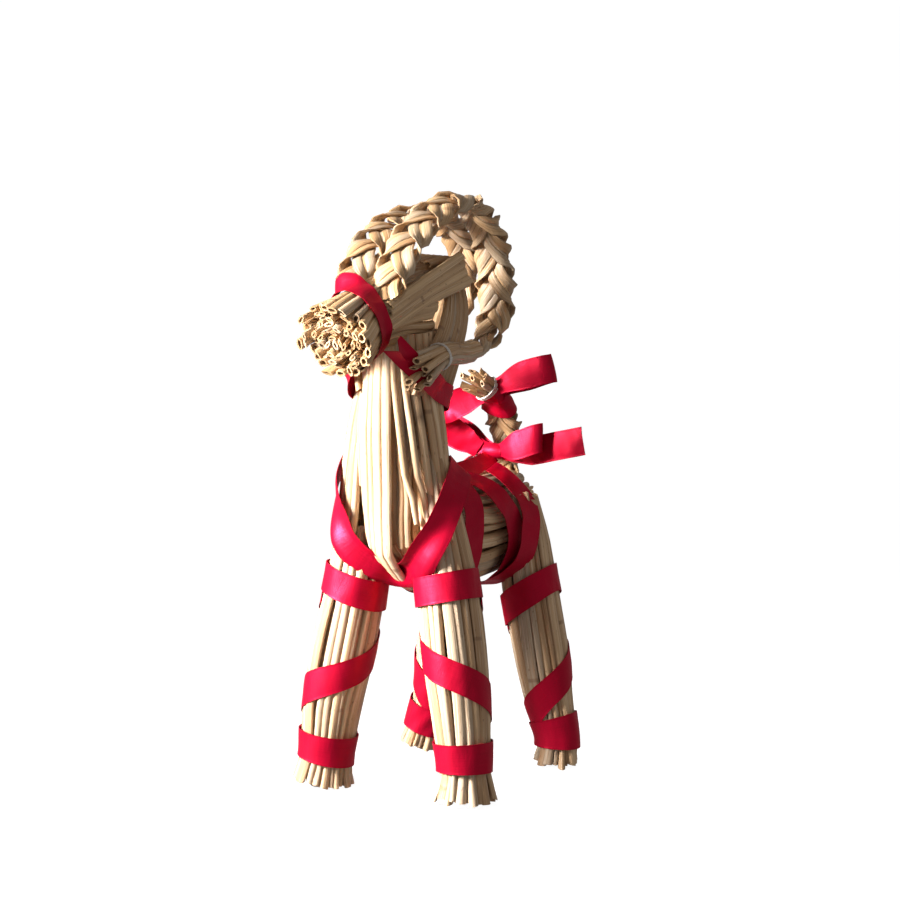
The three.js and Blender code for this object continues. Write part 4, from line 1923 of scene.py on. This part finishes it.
class RibbonShop:
    """Cuts ribbon and lays it."""

    WIDTH = 12.7
    THICK = 0.26

    def __init__(self, finishes: Finishes) -> None:
        """Keeps the materials.

        Args:
            finishes: The materials.
        """
        self.finishes = finishes

    def lay(self, band: Band) -> bpy.types.Object:
        """Makes a stretch of ribbon: a grid shaped to the band and given its thickness.

        Args:
            band: The stretch.

        Returns:
            The stretch's mesh.
        """
        rows, columns = band.points.shape[:2]
        deselect()
        bpy.ops.mesh.primitive_grid_add(x_subdivisions=rows - 1, y_subdivisions=columns - 1, size=1)
        piece = bpy.context.object
        flat = coordinates(piece.data)
        i = np.rint((flat[:, 0] + 0.5) * (rows - 1)).astype(int)
        j = np.rint((flat[:, 1] + 0.5) * (columns - 1)).astype(int)
        set_coordinates(piece.data, STANCE.metres(band.points[i, j]))
        corner = np.empty(len(piece.data.loops), np.int32)
        piece.data.loops.foreach_get("vertex_index", corner)
        steps = np.linalg.norm(np.diff(band.points[:, columns // 2], axis=0), axis=1)
        walked = np.concatenate([[0], np.cumsum(steps)])
        uv = np.stack([walked[i] * MM, j / (columns - 1) * self.WIDTH * MM], 1)[corner]
        piece.data.uv_layers[UV_MAP].data.foreach_set("uv", uv.astype(np.float32).ravel())
        self._face_out(piece, band)
        solid = piece.modifiers.new("thickness", "SOLIDIFY")
        solid.thickness = self.THICK * MM
        solid.offset = 1.0
        bpy.ops.object.modifier_apply(modifier=solid.name)
        bpy.ops.object.shade_smooth_by_angle(angle=math.radians(50))
        return piece

    @staticmethod
    def _face_out(piece: bpy.types.Object, band: Band) -> None:
        """Turns a stretch's faces to the outward side.

        Args:
            piece: The stretch's mesh.
            band: The stretch.
        """
        middle = band.points.shape[0] // 2, band.points.shape[1] // 2
        a, b = middle
        along = band.points[a + 1, b] - band.points[a - 1, b]
        across = band.points[a, b + 1] - band.points[a, b - 1]
        if np.dot(np.cross(along, across), band.outward[a, b]) < 0:
            activate(piece)
            bpy.ops.object.mode_set(mode="EDIT")
            bpy.ops.mesh.select_all(action="SELECT")
            bpy.ops.mesh.flip_normals()
            bpy.ops.object.mode_set(mode="OBJECT")

    def piece(
        self, name: str, bands: Sequence[Band], held: str, rests_on: Sequence[str], *nodes: str
    ) -> bpy.types.Object:
        """Lays the stretches of one ribbon as a piece.

        Args:
            name: The piece's name.
            bands: Its stretches.
            held: How it is held; not used.
            rests_on: What it lies on; not used.
            nodes: The solids it stands for.

        Returns:
            The piece.
        """
        piece = join([self.lay(band) for band in bands], name)
        self.finishes.dress(piece, Slot.SATIN, *nodes)
        length = sum(band.length() for band in bands)
        return piece


@dataclass
class LegRibbon:
    """A ribbon on a leg: a band at the top, a winding down the leg and a band at the ankle."""

    leg: Leg
    top: float
    ankle: float
    tilt: float
    winding: tuple[float, float, float, float]
    tilt_turn: float = 0.0

    def _ring(self, share: float, tilt: float, start: float) -> tuple[Array, Array]:
        """The middle line of a band, with its end lapped over its start.

        Args:
            share: The share of the leg's length.
            tilt: How much of that length it rises on one side.
            start: The angle of its start.

        Returns:
            Shares and angles.
        """
        angle = np.linspace(start, start + 2 * np.pi + 0.35, 96)
        return share + tilt * np.cos(angle - self.tilt_turn), angle

    def build(self, shop: StrawShop, ribbons: RibbonShop, straws: bpy.types.Object) -> bpy.types.Object:
        """Lays the ribbon.

        Args:
            shop: Where the unevenness comes from.
            ribbons: Where ribbon is cut.
            straws: The leg's straws.

        Returns:
            The piece.
        """
        run, width = self.leg.run, ribbons.WIDTH
        cloth = Cloth([straws])
        first, last, start, turns = self.winding
        u = np.linspace(0, 1, int(110 * abs(turns)))
        angle = math.radians(start) + 2 * np.pi * turns * u
        wound = Band.wound(run, first + (last - first) * u, angle, width).on(cloth, 0.15)
        bands = [wound.rippled(shop, 0.12)]
        for share, tilt in ((self.top, self.tilt), (self.ankle, -0.003)):
            middle, turn = self._ring(share, tilt, math.radians(200))
            band = Band.wound(run, middle, turn, width).on(cloth, 0.55)
            lap = np.linspace(0, 0.35, len(turn))[:, None, None]
            bands.append(Band(band.points + band.outward * lap, band.outward).rippled(shop, 0.25))
        name = f"{self.leg.name}_ribbon"
        return ribbons.piece(f"{name}_satin", bands, "stretched", [straws.name], name)


@dataclass
class Harness:
    """The ribbon round the body: four loops, at the chest, girth, flank and rump, and along the back."""

    loop_width: float = 0.88
    back_width: tuple[float, float] = (0.95, 0.55)
    chest_left: tuple[Point, ...] = (
        (0, 0, 136.5),
        (12, -7, 140),
        (21, -19, 143),
        (26, -34, 133),
        (24, -42, 121),
        (18, -45, 111),
        (12, -42, 104),
        (5, -36, 101),
    )
    chest_right: tuple[Point, ...] = (
        (-2, -33, 100),
        (-7, -37, 102),
        (-13.5, -41, 106),
        (-20, -42.5, 113),
        (-25.5, -39, 123),
        (-28.5, -32, 135),
        (-29, -20, 142),
        (-14, -5, 140),
    )
    girth: tuple[Point, ...] = (
        (0, 0, 135.5),
        (13, -5, 133),
        (22, -9, 126),
        (23.5, -9.5, 116),
        (21, -10, 98),
        (12, -10, 85),
        (0, -10, 82),
    )
    slant: tuple[Point, ...] = (
        (0, 4, 134.8),
        (8, 8, 133.2),
        (17, 14.6, 128.8),
        (23, 19.2, 120.6),
        (25, 22.7, 112.2),
        (25.5, 23.6, 104.5),
        (22.5, 24.4, 95.2),
        (13, 25, 85),
        (0, 24, 83),
    )
    rump: tuple[Point, ...] = (
        (0, 40, 134),
        (8, 37, 132.6),
        (17, 35, 127.8),
        (24, 34.5, 121.3),
        (28.5, 31.5, 114.5),
        (30, 28.2, 107),
        (29, 27.4, 99),
        (23.5, 26.4, 90.5),
        (12, 26, 84),
        (0, 25, 82.5),
    )

    @staticmethod
    def _loop(points: Sequence[Point], middle: Point) -> tuple[Array, Array]:
        """A loop through points on the left side and their mirror images.

        Args:
            points: From the middle of the back down to the middle of the belly.
            middle: What its face looks away from.

        Returns:
            The middle line and its outward directions.
        """
        left = [tuple(point) for point in points]
        whole = left + [(-x, y, z) for x, y, z in left[-2::-1]]
        line = evenly(whole, 170)
        return line, unit(line - np.array(middle, float))

    def build(
        self, shop: StrawShop, ribbons: RibbonShop, under: Sequence[bpy.types.Object]
    ) -> bpy.types.Object:
        """Lays the harness.

        Args:
            shop: Where the unevenness comes from.
            ribbons: Where ribbon is cut.
            under: The straws it lies on.

        Returns:
            The piece.
        """
        body, shoulders = Cloth(under[:1]), Cloth(under[1:3])
        bands = []
        for points, middle, clear in (
            (self.girth, (0, -6, 108), 0.2),
            (self.slant, (0, 20, 108), 0.4),
            (self.rump, (0, 30, 106), 0.5),
        ):
            line, outward = self._loop(points, middle)
            outward = unit(outward * np.array([1, 0.35, 1]) + np.array([0, -0.2, 0.15]))
            band = Band.through(line, outward, ribbons.WIDTH * self.loop_width)
            bands.append(band.on(body, clear, along=6, slack=1.0))
        line = evenly([*self.chest_left, *self.chest_right, self.chest_left[0]], 190)
        outward = unit(line - np.array([-3, -22, 118.0]))
        bands.append(Band.through(line, outward, ribbons.WIDTH).on(shoulders, 0.5, along=7, slack=0.6))
        back = evenly([(4, -2, 136), (4, 20, 135.4), (2, 43, 137)], 30)
        up = np.tile([0.55, 0, 0.83], (30, 1))
        back_width = ribbons.WIDTH * np.linspace(*self.back_width, 30)
        bands.append(Band.through(back, up, back_width).on(body, 0.8, slack=1.0))
        bands = [band.rippled(shop, 0.25) for band in bands]
        rests_on = [straws.name for straws in under]
        return ribbons.piece("harness_ribbon_satin", bands, "stretched", rests_on, "harness_ribbon")


@dataclass
class MuzzleRibbon:
    """The band round the muzzle and the strap from it round the back of the neck."""

    share: float = 0.795
    strap: tuple[Point, ...] = (
        (14.6, -67, 204),
        (16.2, -51, 190.5),
        (18.6, -34, 179.5),
        (14.5, -17.5, 173),
        (0, -13.5, 170.5),
    )

    def build(
        self, shop: StrawShop, ribbons: RibbonShop, head: Head, under: Sequence[bpy.types.Object]
    ) -> bpy.types.Object:
        """Lays the ribbon.

        Args:
            shop: Where the unevenness comes from.
            ribbons: Where ribbon is cut.
            head: The head.
            under: The straws it lies on.

        Returns:
            The piece.
        """
        cloth = Cloth(under)
        angle = np.linspace(math.radians(60), math.radians(440), 100)
        share = self.share + 0.03 * np.cos(angle)
        folded = ribbons.WIDTH * (0.78 - 0.2 * np.cos(angle))
        ring = Band.wound(head.run, share, angle, folded).on(cloth, 0.35, along=5, reach=9)
        line = evenly([*self.strap, *[(-x, y, z) for x, y, z in self.strap[-2::-1]]], 120)
        outward = unit(line - np.array([0, -33, 190.0]) + np.array([0, 0, 4.0]))
        strap = Band.through(line, outward, ribbons.WIDTH * 0.76).on(cloth, 0.3, along=6, slack=1.5)
        bands = [ring.rippled(shop, 0.3), strap.rippled(shop, 0.25)]
        rests_on = [straws.name for straws in under]
        return ribbons.piece("muzzle_ribbon_satin", bands, "stretched", rests_on, "muzzle_ribbon")


@dataclass
class BowPart:
    """A loop or an end of a bow: a line from the knot, the way of its width, and how it opens."""

    line: tuple[Point, ...]
    across: Point
    across_end: Optional[Point] = None
    closed: bool = False
    opening: float = 1.6
    narrow: float = 0.42

    def band(self, width: float, rows: int = 60) -> Band:
        """Shapes the part.

        Args:
            width: The ribbon's width.
            rows: Points along it.

        Returns:
            The band.
        """
        line = evenly(self.line, rows)
        u = np.linspace(0, 1, rows)
        ways = np.array(self.across, float) + u[:, None] * (
            np.array(self.across_end or self.across, float) - np.array(self.across, float)
        )
        along = gradient(line)
        face = unit(np.cross(along, ways))
        if self.closed:
            wide = self.narrow + (1 - self.narrow) * smoothstep(np.sin(np.pi * u), 0, 0.75)
        else:
            wide = np.minimum(1, self.narrow + self.opening * u)
        return Band.through(line, face, width * wide, curl=0.5)


@dataclass
class Bow:
    """A bow: a knot or wrap, loops and ends."""

    name: str
    node: str
    parts: Sequence[BowPart]

    def build(
        self, shop: StrawShop, ribbons: RibbonShop, extra: Sequence[Band], rests_on: Sequence[str]
    ) -> bpy.types.Object:
        """Lays the bow.

        Args:
            shop: Where the unevenness comes from.
            ribbons: Where ribbon is cut.
            extra: Further stretches, such as a wrap.
            rests_on: What it lies on.

        Returns:
            The piece.
        """
        bands = [part.band(ribbons.WIDTH).rippled(shop, 0.3) for part in self.parts]
        return ribbons.piece(self.name, [*bands, *extra], "folded", rests_on, self.node)


def tail_bow(run: Run, cloth: Cloth) -> tuple[Bow, list[Band]]:
    """The tail's bow: two wraps round the plait, and two loops, one of which falls to the back.

    Args:
        run: The tail's line.
        cloth: The tail's straws.

    Returns:
        The bow and its wrap.
    """
    right = (
        (5, 43, 168.8),
        (17, 42, 174.5),
        (28.5, 43.6, 178.2),
        (31.4, 46.4, 178.6),
        (29, 49.2, 178),
        (17, 50.5, 173.5),
        (4, 48, 167),
    )
    left = (
        (-3, 44, 165.5),
        (-11, 41, 161.5),
        (-18.5, 39.5, 157),
        (-21.5, 40.5, 151.5),
        (-18.5, 42.5, 147),
        (-12, 44, 143),
        (-6, 45, 139),
    )
    parts = [
        BowPart(right, (-0.3, 0.1, 1), closed=True, narrow=0.6),
        BowPart(left, (-0.4, 0.1, 1), (0.9, 0, 0.6), closed=True, narrow=0.7),
    ]
    angle = np.linspace(math.radians(20), math.radians(400), 80)
    share = 0.725 + 0.05 * np.cos(angle - math.radians(70))
    wraps = [Band.wound(run, share, angle, RibbonShop.WIDTH * 0.8).on(cloth, 0.3, along=5, reach=6)]
    share = 0.715 - 0.045 * np.cos(angle - math.radians(40))
    wraps.append(Band.wound(run, share, angle, RibbonShop.WIDTH * 0.7).on(cloth, 0.75, along=5, reach=6))
    return Bow("tail_bow_satin", "tail_ribbon", parts), wraps


def back_bow() -> tuple[Bow, list[Band]]:
    """The bow on the back: a knot, two loops, an end that stands out and one that falls down the side.

    Returns:
        The bow and its knot.
    """
    parts = [
        BowPart(
            (
                (4, 44, 139.5),
                (14, 40.5, 142.7),
                (25, 40.8, 147),
                (27.3, 43, 147.6),
                (25, 45, 147),
                (14, 46, 142.7),
                (4, 45.5, 139.3),
            ),
            (0, 0.15, 1),
            closed=True,
        ),
        BowPart(
            (
                (-1, 45, 139.8),
                (-13, 46.5, 142.5),
                (-27, 46.5, 148),
                (-29.8, 48.5, 148.6),
                (-27, 50.5, 148),
                (-13, 50.5, 143),
                (-1, 47.5, 139.8),
            ),
            (0, 0.1, 1),
            closed=True,
        ),
        BowPart(((3, 45, 138.5), (18, 46.8, 140), (33, 46.5, 143.8), (47, 45, 147.5)), (0, 0.1, 1)),
        BowPart(
            ((-1, 47.5, 137.5), (-12, 51, 135), (-21.5, 52, 126), (-25.5, 51.5, 112), (-27, 51.5, 100)),
            (0, 1, 0.1),
        ),
    ]
    turn = np.linspace(0, 2 * np.pi + 0.3, 40)
    line = np.stack([2 + 0 * turn, 45 + 3.6 * np.cos(turn), 139 + 3.4 * np.sin(turn)], 1)
    knot = Band.through(line, line - np.array([2, 45, 139.0]), 9.5, curl=0.9)
    return Bow("back_bow_satin", "back_bow", parts), [knot]


# ---- Threads ----


@dataclass
class Threads:
    """The white ties."""

    radius: float = 0.38

    def _ring(self, shop: StrawShop, run: Run, share: float, turns: float = 2.3) -> bpy.types.Object:
        """A thread wound round a bundle and pulled tight.

        Args:
            shop: Where it is laid.
            run: The bundle.
            share: The share of its length.
            turns: How many turns it makes.

        Returns:
            The thread.
        """
        u = np.linspace(0, 1, 44)
        angle = 2 * np.pi * turns * u
        along = share + (u - 0.5) * turns * 2.1 * self.radius / run.length
        centre, round_way, outward = run.shell(along, angle, np.full(44, self.radius + 0.25))
        half = np.full(44, self.radius)
        return shop.lay(Route(centre, np.cross(outward, round_way), outward, half, half), StrawLook(0.3), 6)

    def build(self, shop: StrawShop, finishes: Finishes, runs: dict[str, tuple[Run, float]]) -> None:
        """Lays the ties.

        Args:
            shop: Where they are laid.
            finishes: The materials.
            runs: For each tie's solid, its bundle and the share of its length.
        """
        for node, (run, share) in runs.items():
            piece = join([self._ring(shop, run, share)], f"{node}_tie")
            finishes.dress(piece, Slot.THREAD, node)


# ---- Studio ----


@dataclass(frozen=True)
class Studio:
    """A white backdrop, a soft narrow light on the goat's front, a weak even fill, and the camera."""

    azimuth: float = 30.0
    elevation: float = 10.0
    distance: float = 2200.0
    target: Point = (0.0, 8.8, 144.8)
    lens: float = 200.0
    extent: float = 9.0
    key_azimuth: float = -42.0
    key_elevation: float = 24.0
    key_distance: float = 0.62
    key_size: float = 0.26
    key_spread: float = 38.0
    key_aim: Point = (-10.0, -80.0, 120.0)
    key: float = 2.15
    fill: float = 0.33

    def build(self) -> None:
        """Builds the studio."""
        self._camera()
        self._light()
        bpy.ops.object.select_all(action="DESELECT")
        bpy.ops.mesh.primitive_grid_add(x_subdivisions=8, y_subdivisions=8, size=2 * self.extent)
        self._stage("studio_floor", 0.96, shadows=True)
        bpy.ops.mesh.primitive_ico_sphere_add(subdivisions=4, radius=self.extent, location=(0, 0, 0))
        bpy.ops.object.mode_set(mode="EDIT")
        bpy.ops.mesh.flip_normals()
        bpy.ops.object.mode_set(mode="OBJECT")
        self._stage("studio_dome", 1.0, shadows=False)
        world = bpy.data.worlds.new("studio_air")
        bpy.context.scene.world = world
        g = Graph(world)
        air = g.wire("ShaderNodeBackground", None, {"Color": (1.0, 1.0, 1.0), "Strength": self.fill})
        g.node("ShaderNodeOutputWorld", None, {"Surface": air})
        bpy.context.scene.view_settings.view_transform = "Standard"

    @staticmethod
    def _direction(azimuth: float, elevation: float) -> Vector:
        """The way from the goat towards a place round it.

        Args:
            azimuth: Degrees from straight ahead of the goat towards its left.
            elevation: Degrees up.

        Returns:
            The direction.
        """
        a, e = math.radians(azimuth), math.radians(elevation)
        return Vector((math.sin(a) * math.cos(e), -math.cos(a) * math.cos(e), math.sin(e)))

    @staticmethod
    def _place(made: bpy.types.Object, target: Point, way: Vector, distance: float) -> None:
        """Puts a camera or light at a distance and turns it to the goat.

        Args:
            made: The object.
            target: What it looks at.
            way: The way from the goat.
            distance: How far, in metres.
        """
        bpy.context.scene.collection.objects.link(made)
        made.location = Vector(STANCE.metres(np.array(target))) + way * distance
        made.rotation_mode = "QUATERNION"
        made.rotation_quaternion = (-way).to_track_quat("-Z", "Y")

    def _camera(self) -> None:
        """Places the camera."""
        data = bpy.data.cameras.new("camera")
        data.lens = self.lens
        data.sensor_width = 36.0
        camera = bpy.data.objects.new("camera", data)
        self._place(camera, self.target, self._direction(self.azimuth, self.elevation), self.distance * MM)
        bpy.context.scene.camera = camera

    def _light(self) -> None:
        """Places the soft light."""
        data = bpy.data.lights.new("key_light", "AREA")
        data.size = self.key_size
        data.energy = self.key
        data.spread = math.radians(self.key_spread)
        light = bpy.data.objects.new("key_light", data)
        way = self._direction(self.key_azimuth, self.key_elevation)
        self._place(light, self.key_aim, way, self.key_distance)

    @staticmethod
    def _stage(name: str, glow: float, shadows: bool) -> None:
        """Dresses the new mesh as backdrop: seen white, and giving the goat no light of its own.

        Args:
            name: Its name.
            glow: How bright it is by itself.
            shadows: True where it may block light.
        """
        backdrop = bpy.context.object
        backdrop.name = name
        backdrop.data.materials.append(StudioFinish(f"{name}_white", glow).material())
        backdrop.visible_diffuse = False
        backdrop.visible_glossy = False
        backdrop.visible_shadow = shadows


# ---- The goat ----


def build_goat(finishes: Finishes) -> None:
    """Builds every piece of the goat.

    Args:
        finishes: The materials.
    """
    shop = StrawShop()
    ribbons = RibbonShop(finishes)
    legs = {
        "front_left": Leg("front_left_leg", front_leg_run(Side.LEFT, 0, LEFT_SHOULDER), Side.LEFT, 100),
        "front_right": Leg("front_right_leg", front_leg_run(Side.RIGHT, 2, RIGHT_SHOULDER), Side.RIGHT, 100),
        "rear_left": Leg("rear_left_leg", rear_leg_run(Side.LEFT, 0), Side.LEFT, 92, 17),
        "rear_right": Leg("rear_right_leg", rear_leg_run(Side.RIGHT, 6), Side.RIGHT, 92, 17),
    }
    laid = {name: leg.build(shop, finishes) for name, leg in legs.items()}
    body_part, head_part, tail_part = Body(), Head(), tail()
    horns = (left_horn(), right_horn())
    body = body_part.build(shop, finishes)
    head = head_part.build(shop, finishes)
    horn_pieces = [horn.build(shop, finishes) for horn in horns]
    tail_piece = tail_part.build(shop, finishes)
    ribbon_plans = {
        "front_left": LegRibbon(legs["front_left"], 0.5, 0.108, 0.004, (0.485, 0.1, -30, -1.5)),
        "front_right": LegRibbon(legs["front_right"], 0.485, 0.092, -0.012, (0.46, 0.082, 150, 1.5)),
        "rear_left": LegRibbon(legs["rear_left"], 0.635, 0.122, 0.055, (0.57, 0.17, 150, 1.0)),
        "rear_right": LegRibbon(legs["rear_right"], 0.635, 0.122, -0.055, (0.57, 0.17, 30, -1.0)),
    }
    for name, plan in ribbon_plans.items():
        plan.build(shop, ribbons, laid[name])
    Harness().build(shop, ribbons, [body, laid["front_left"], laid["front_right"]])
    under_muzzle = [body, head, laid["front_left"], laid["front_right"], *horn_pieces]
    MuzzleRibbon().build(shop, ribbons, head_part, under_muzzle)
    bow, wrap = tail_bow(tail_part.run, Cloth([tail_piece]))
    bow.build(shop, ribbons, wrap, [tail_piece.name])
    bow, knot = back_bow()
    bow.build(shop, ribbons, knot, ["harness_ribbon_satin"])
    ties = {
        "left_horn_thread": (horns[0].run, 0.9),
        "right_horn_thread": (horns[1].run, 0.9),
        "tail_thread": (tail_part.run, 0.84),
    }
    Threads().build(shop, finishes, ties)
    shop.discard_templates()


def main() -> None:
    """Builds the goat and the studio."""
    logging.basicConfig(level=logging.INFO, format="%(name)s: %(message)s")
    build_goat(Finishes())
    Studio().build()


if __name__ == "__main__":
    main()
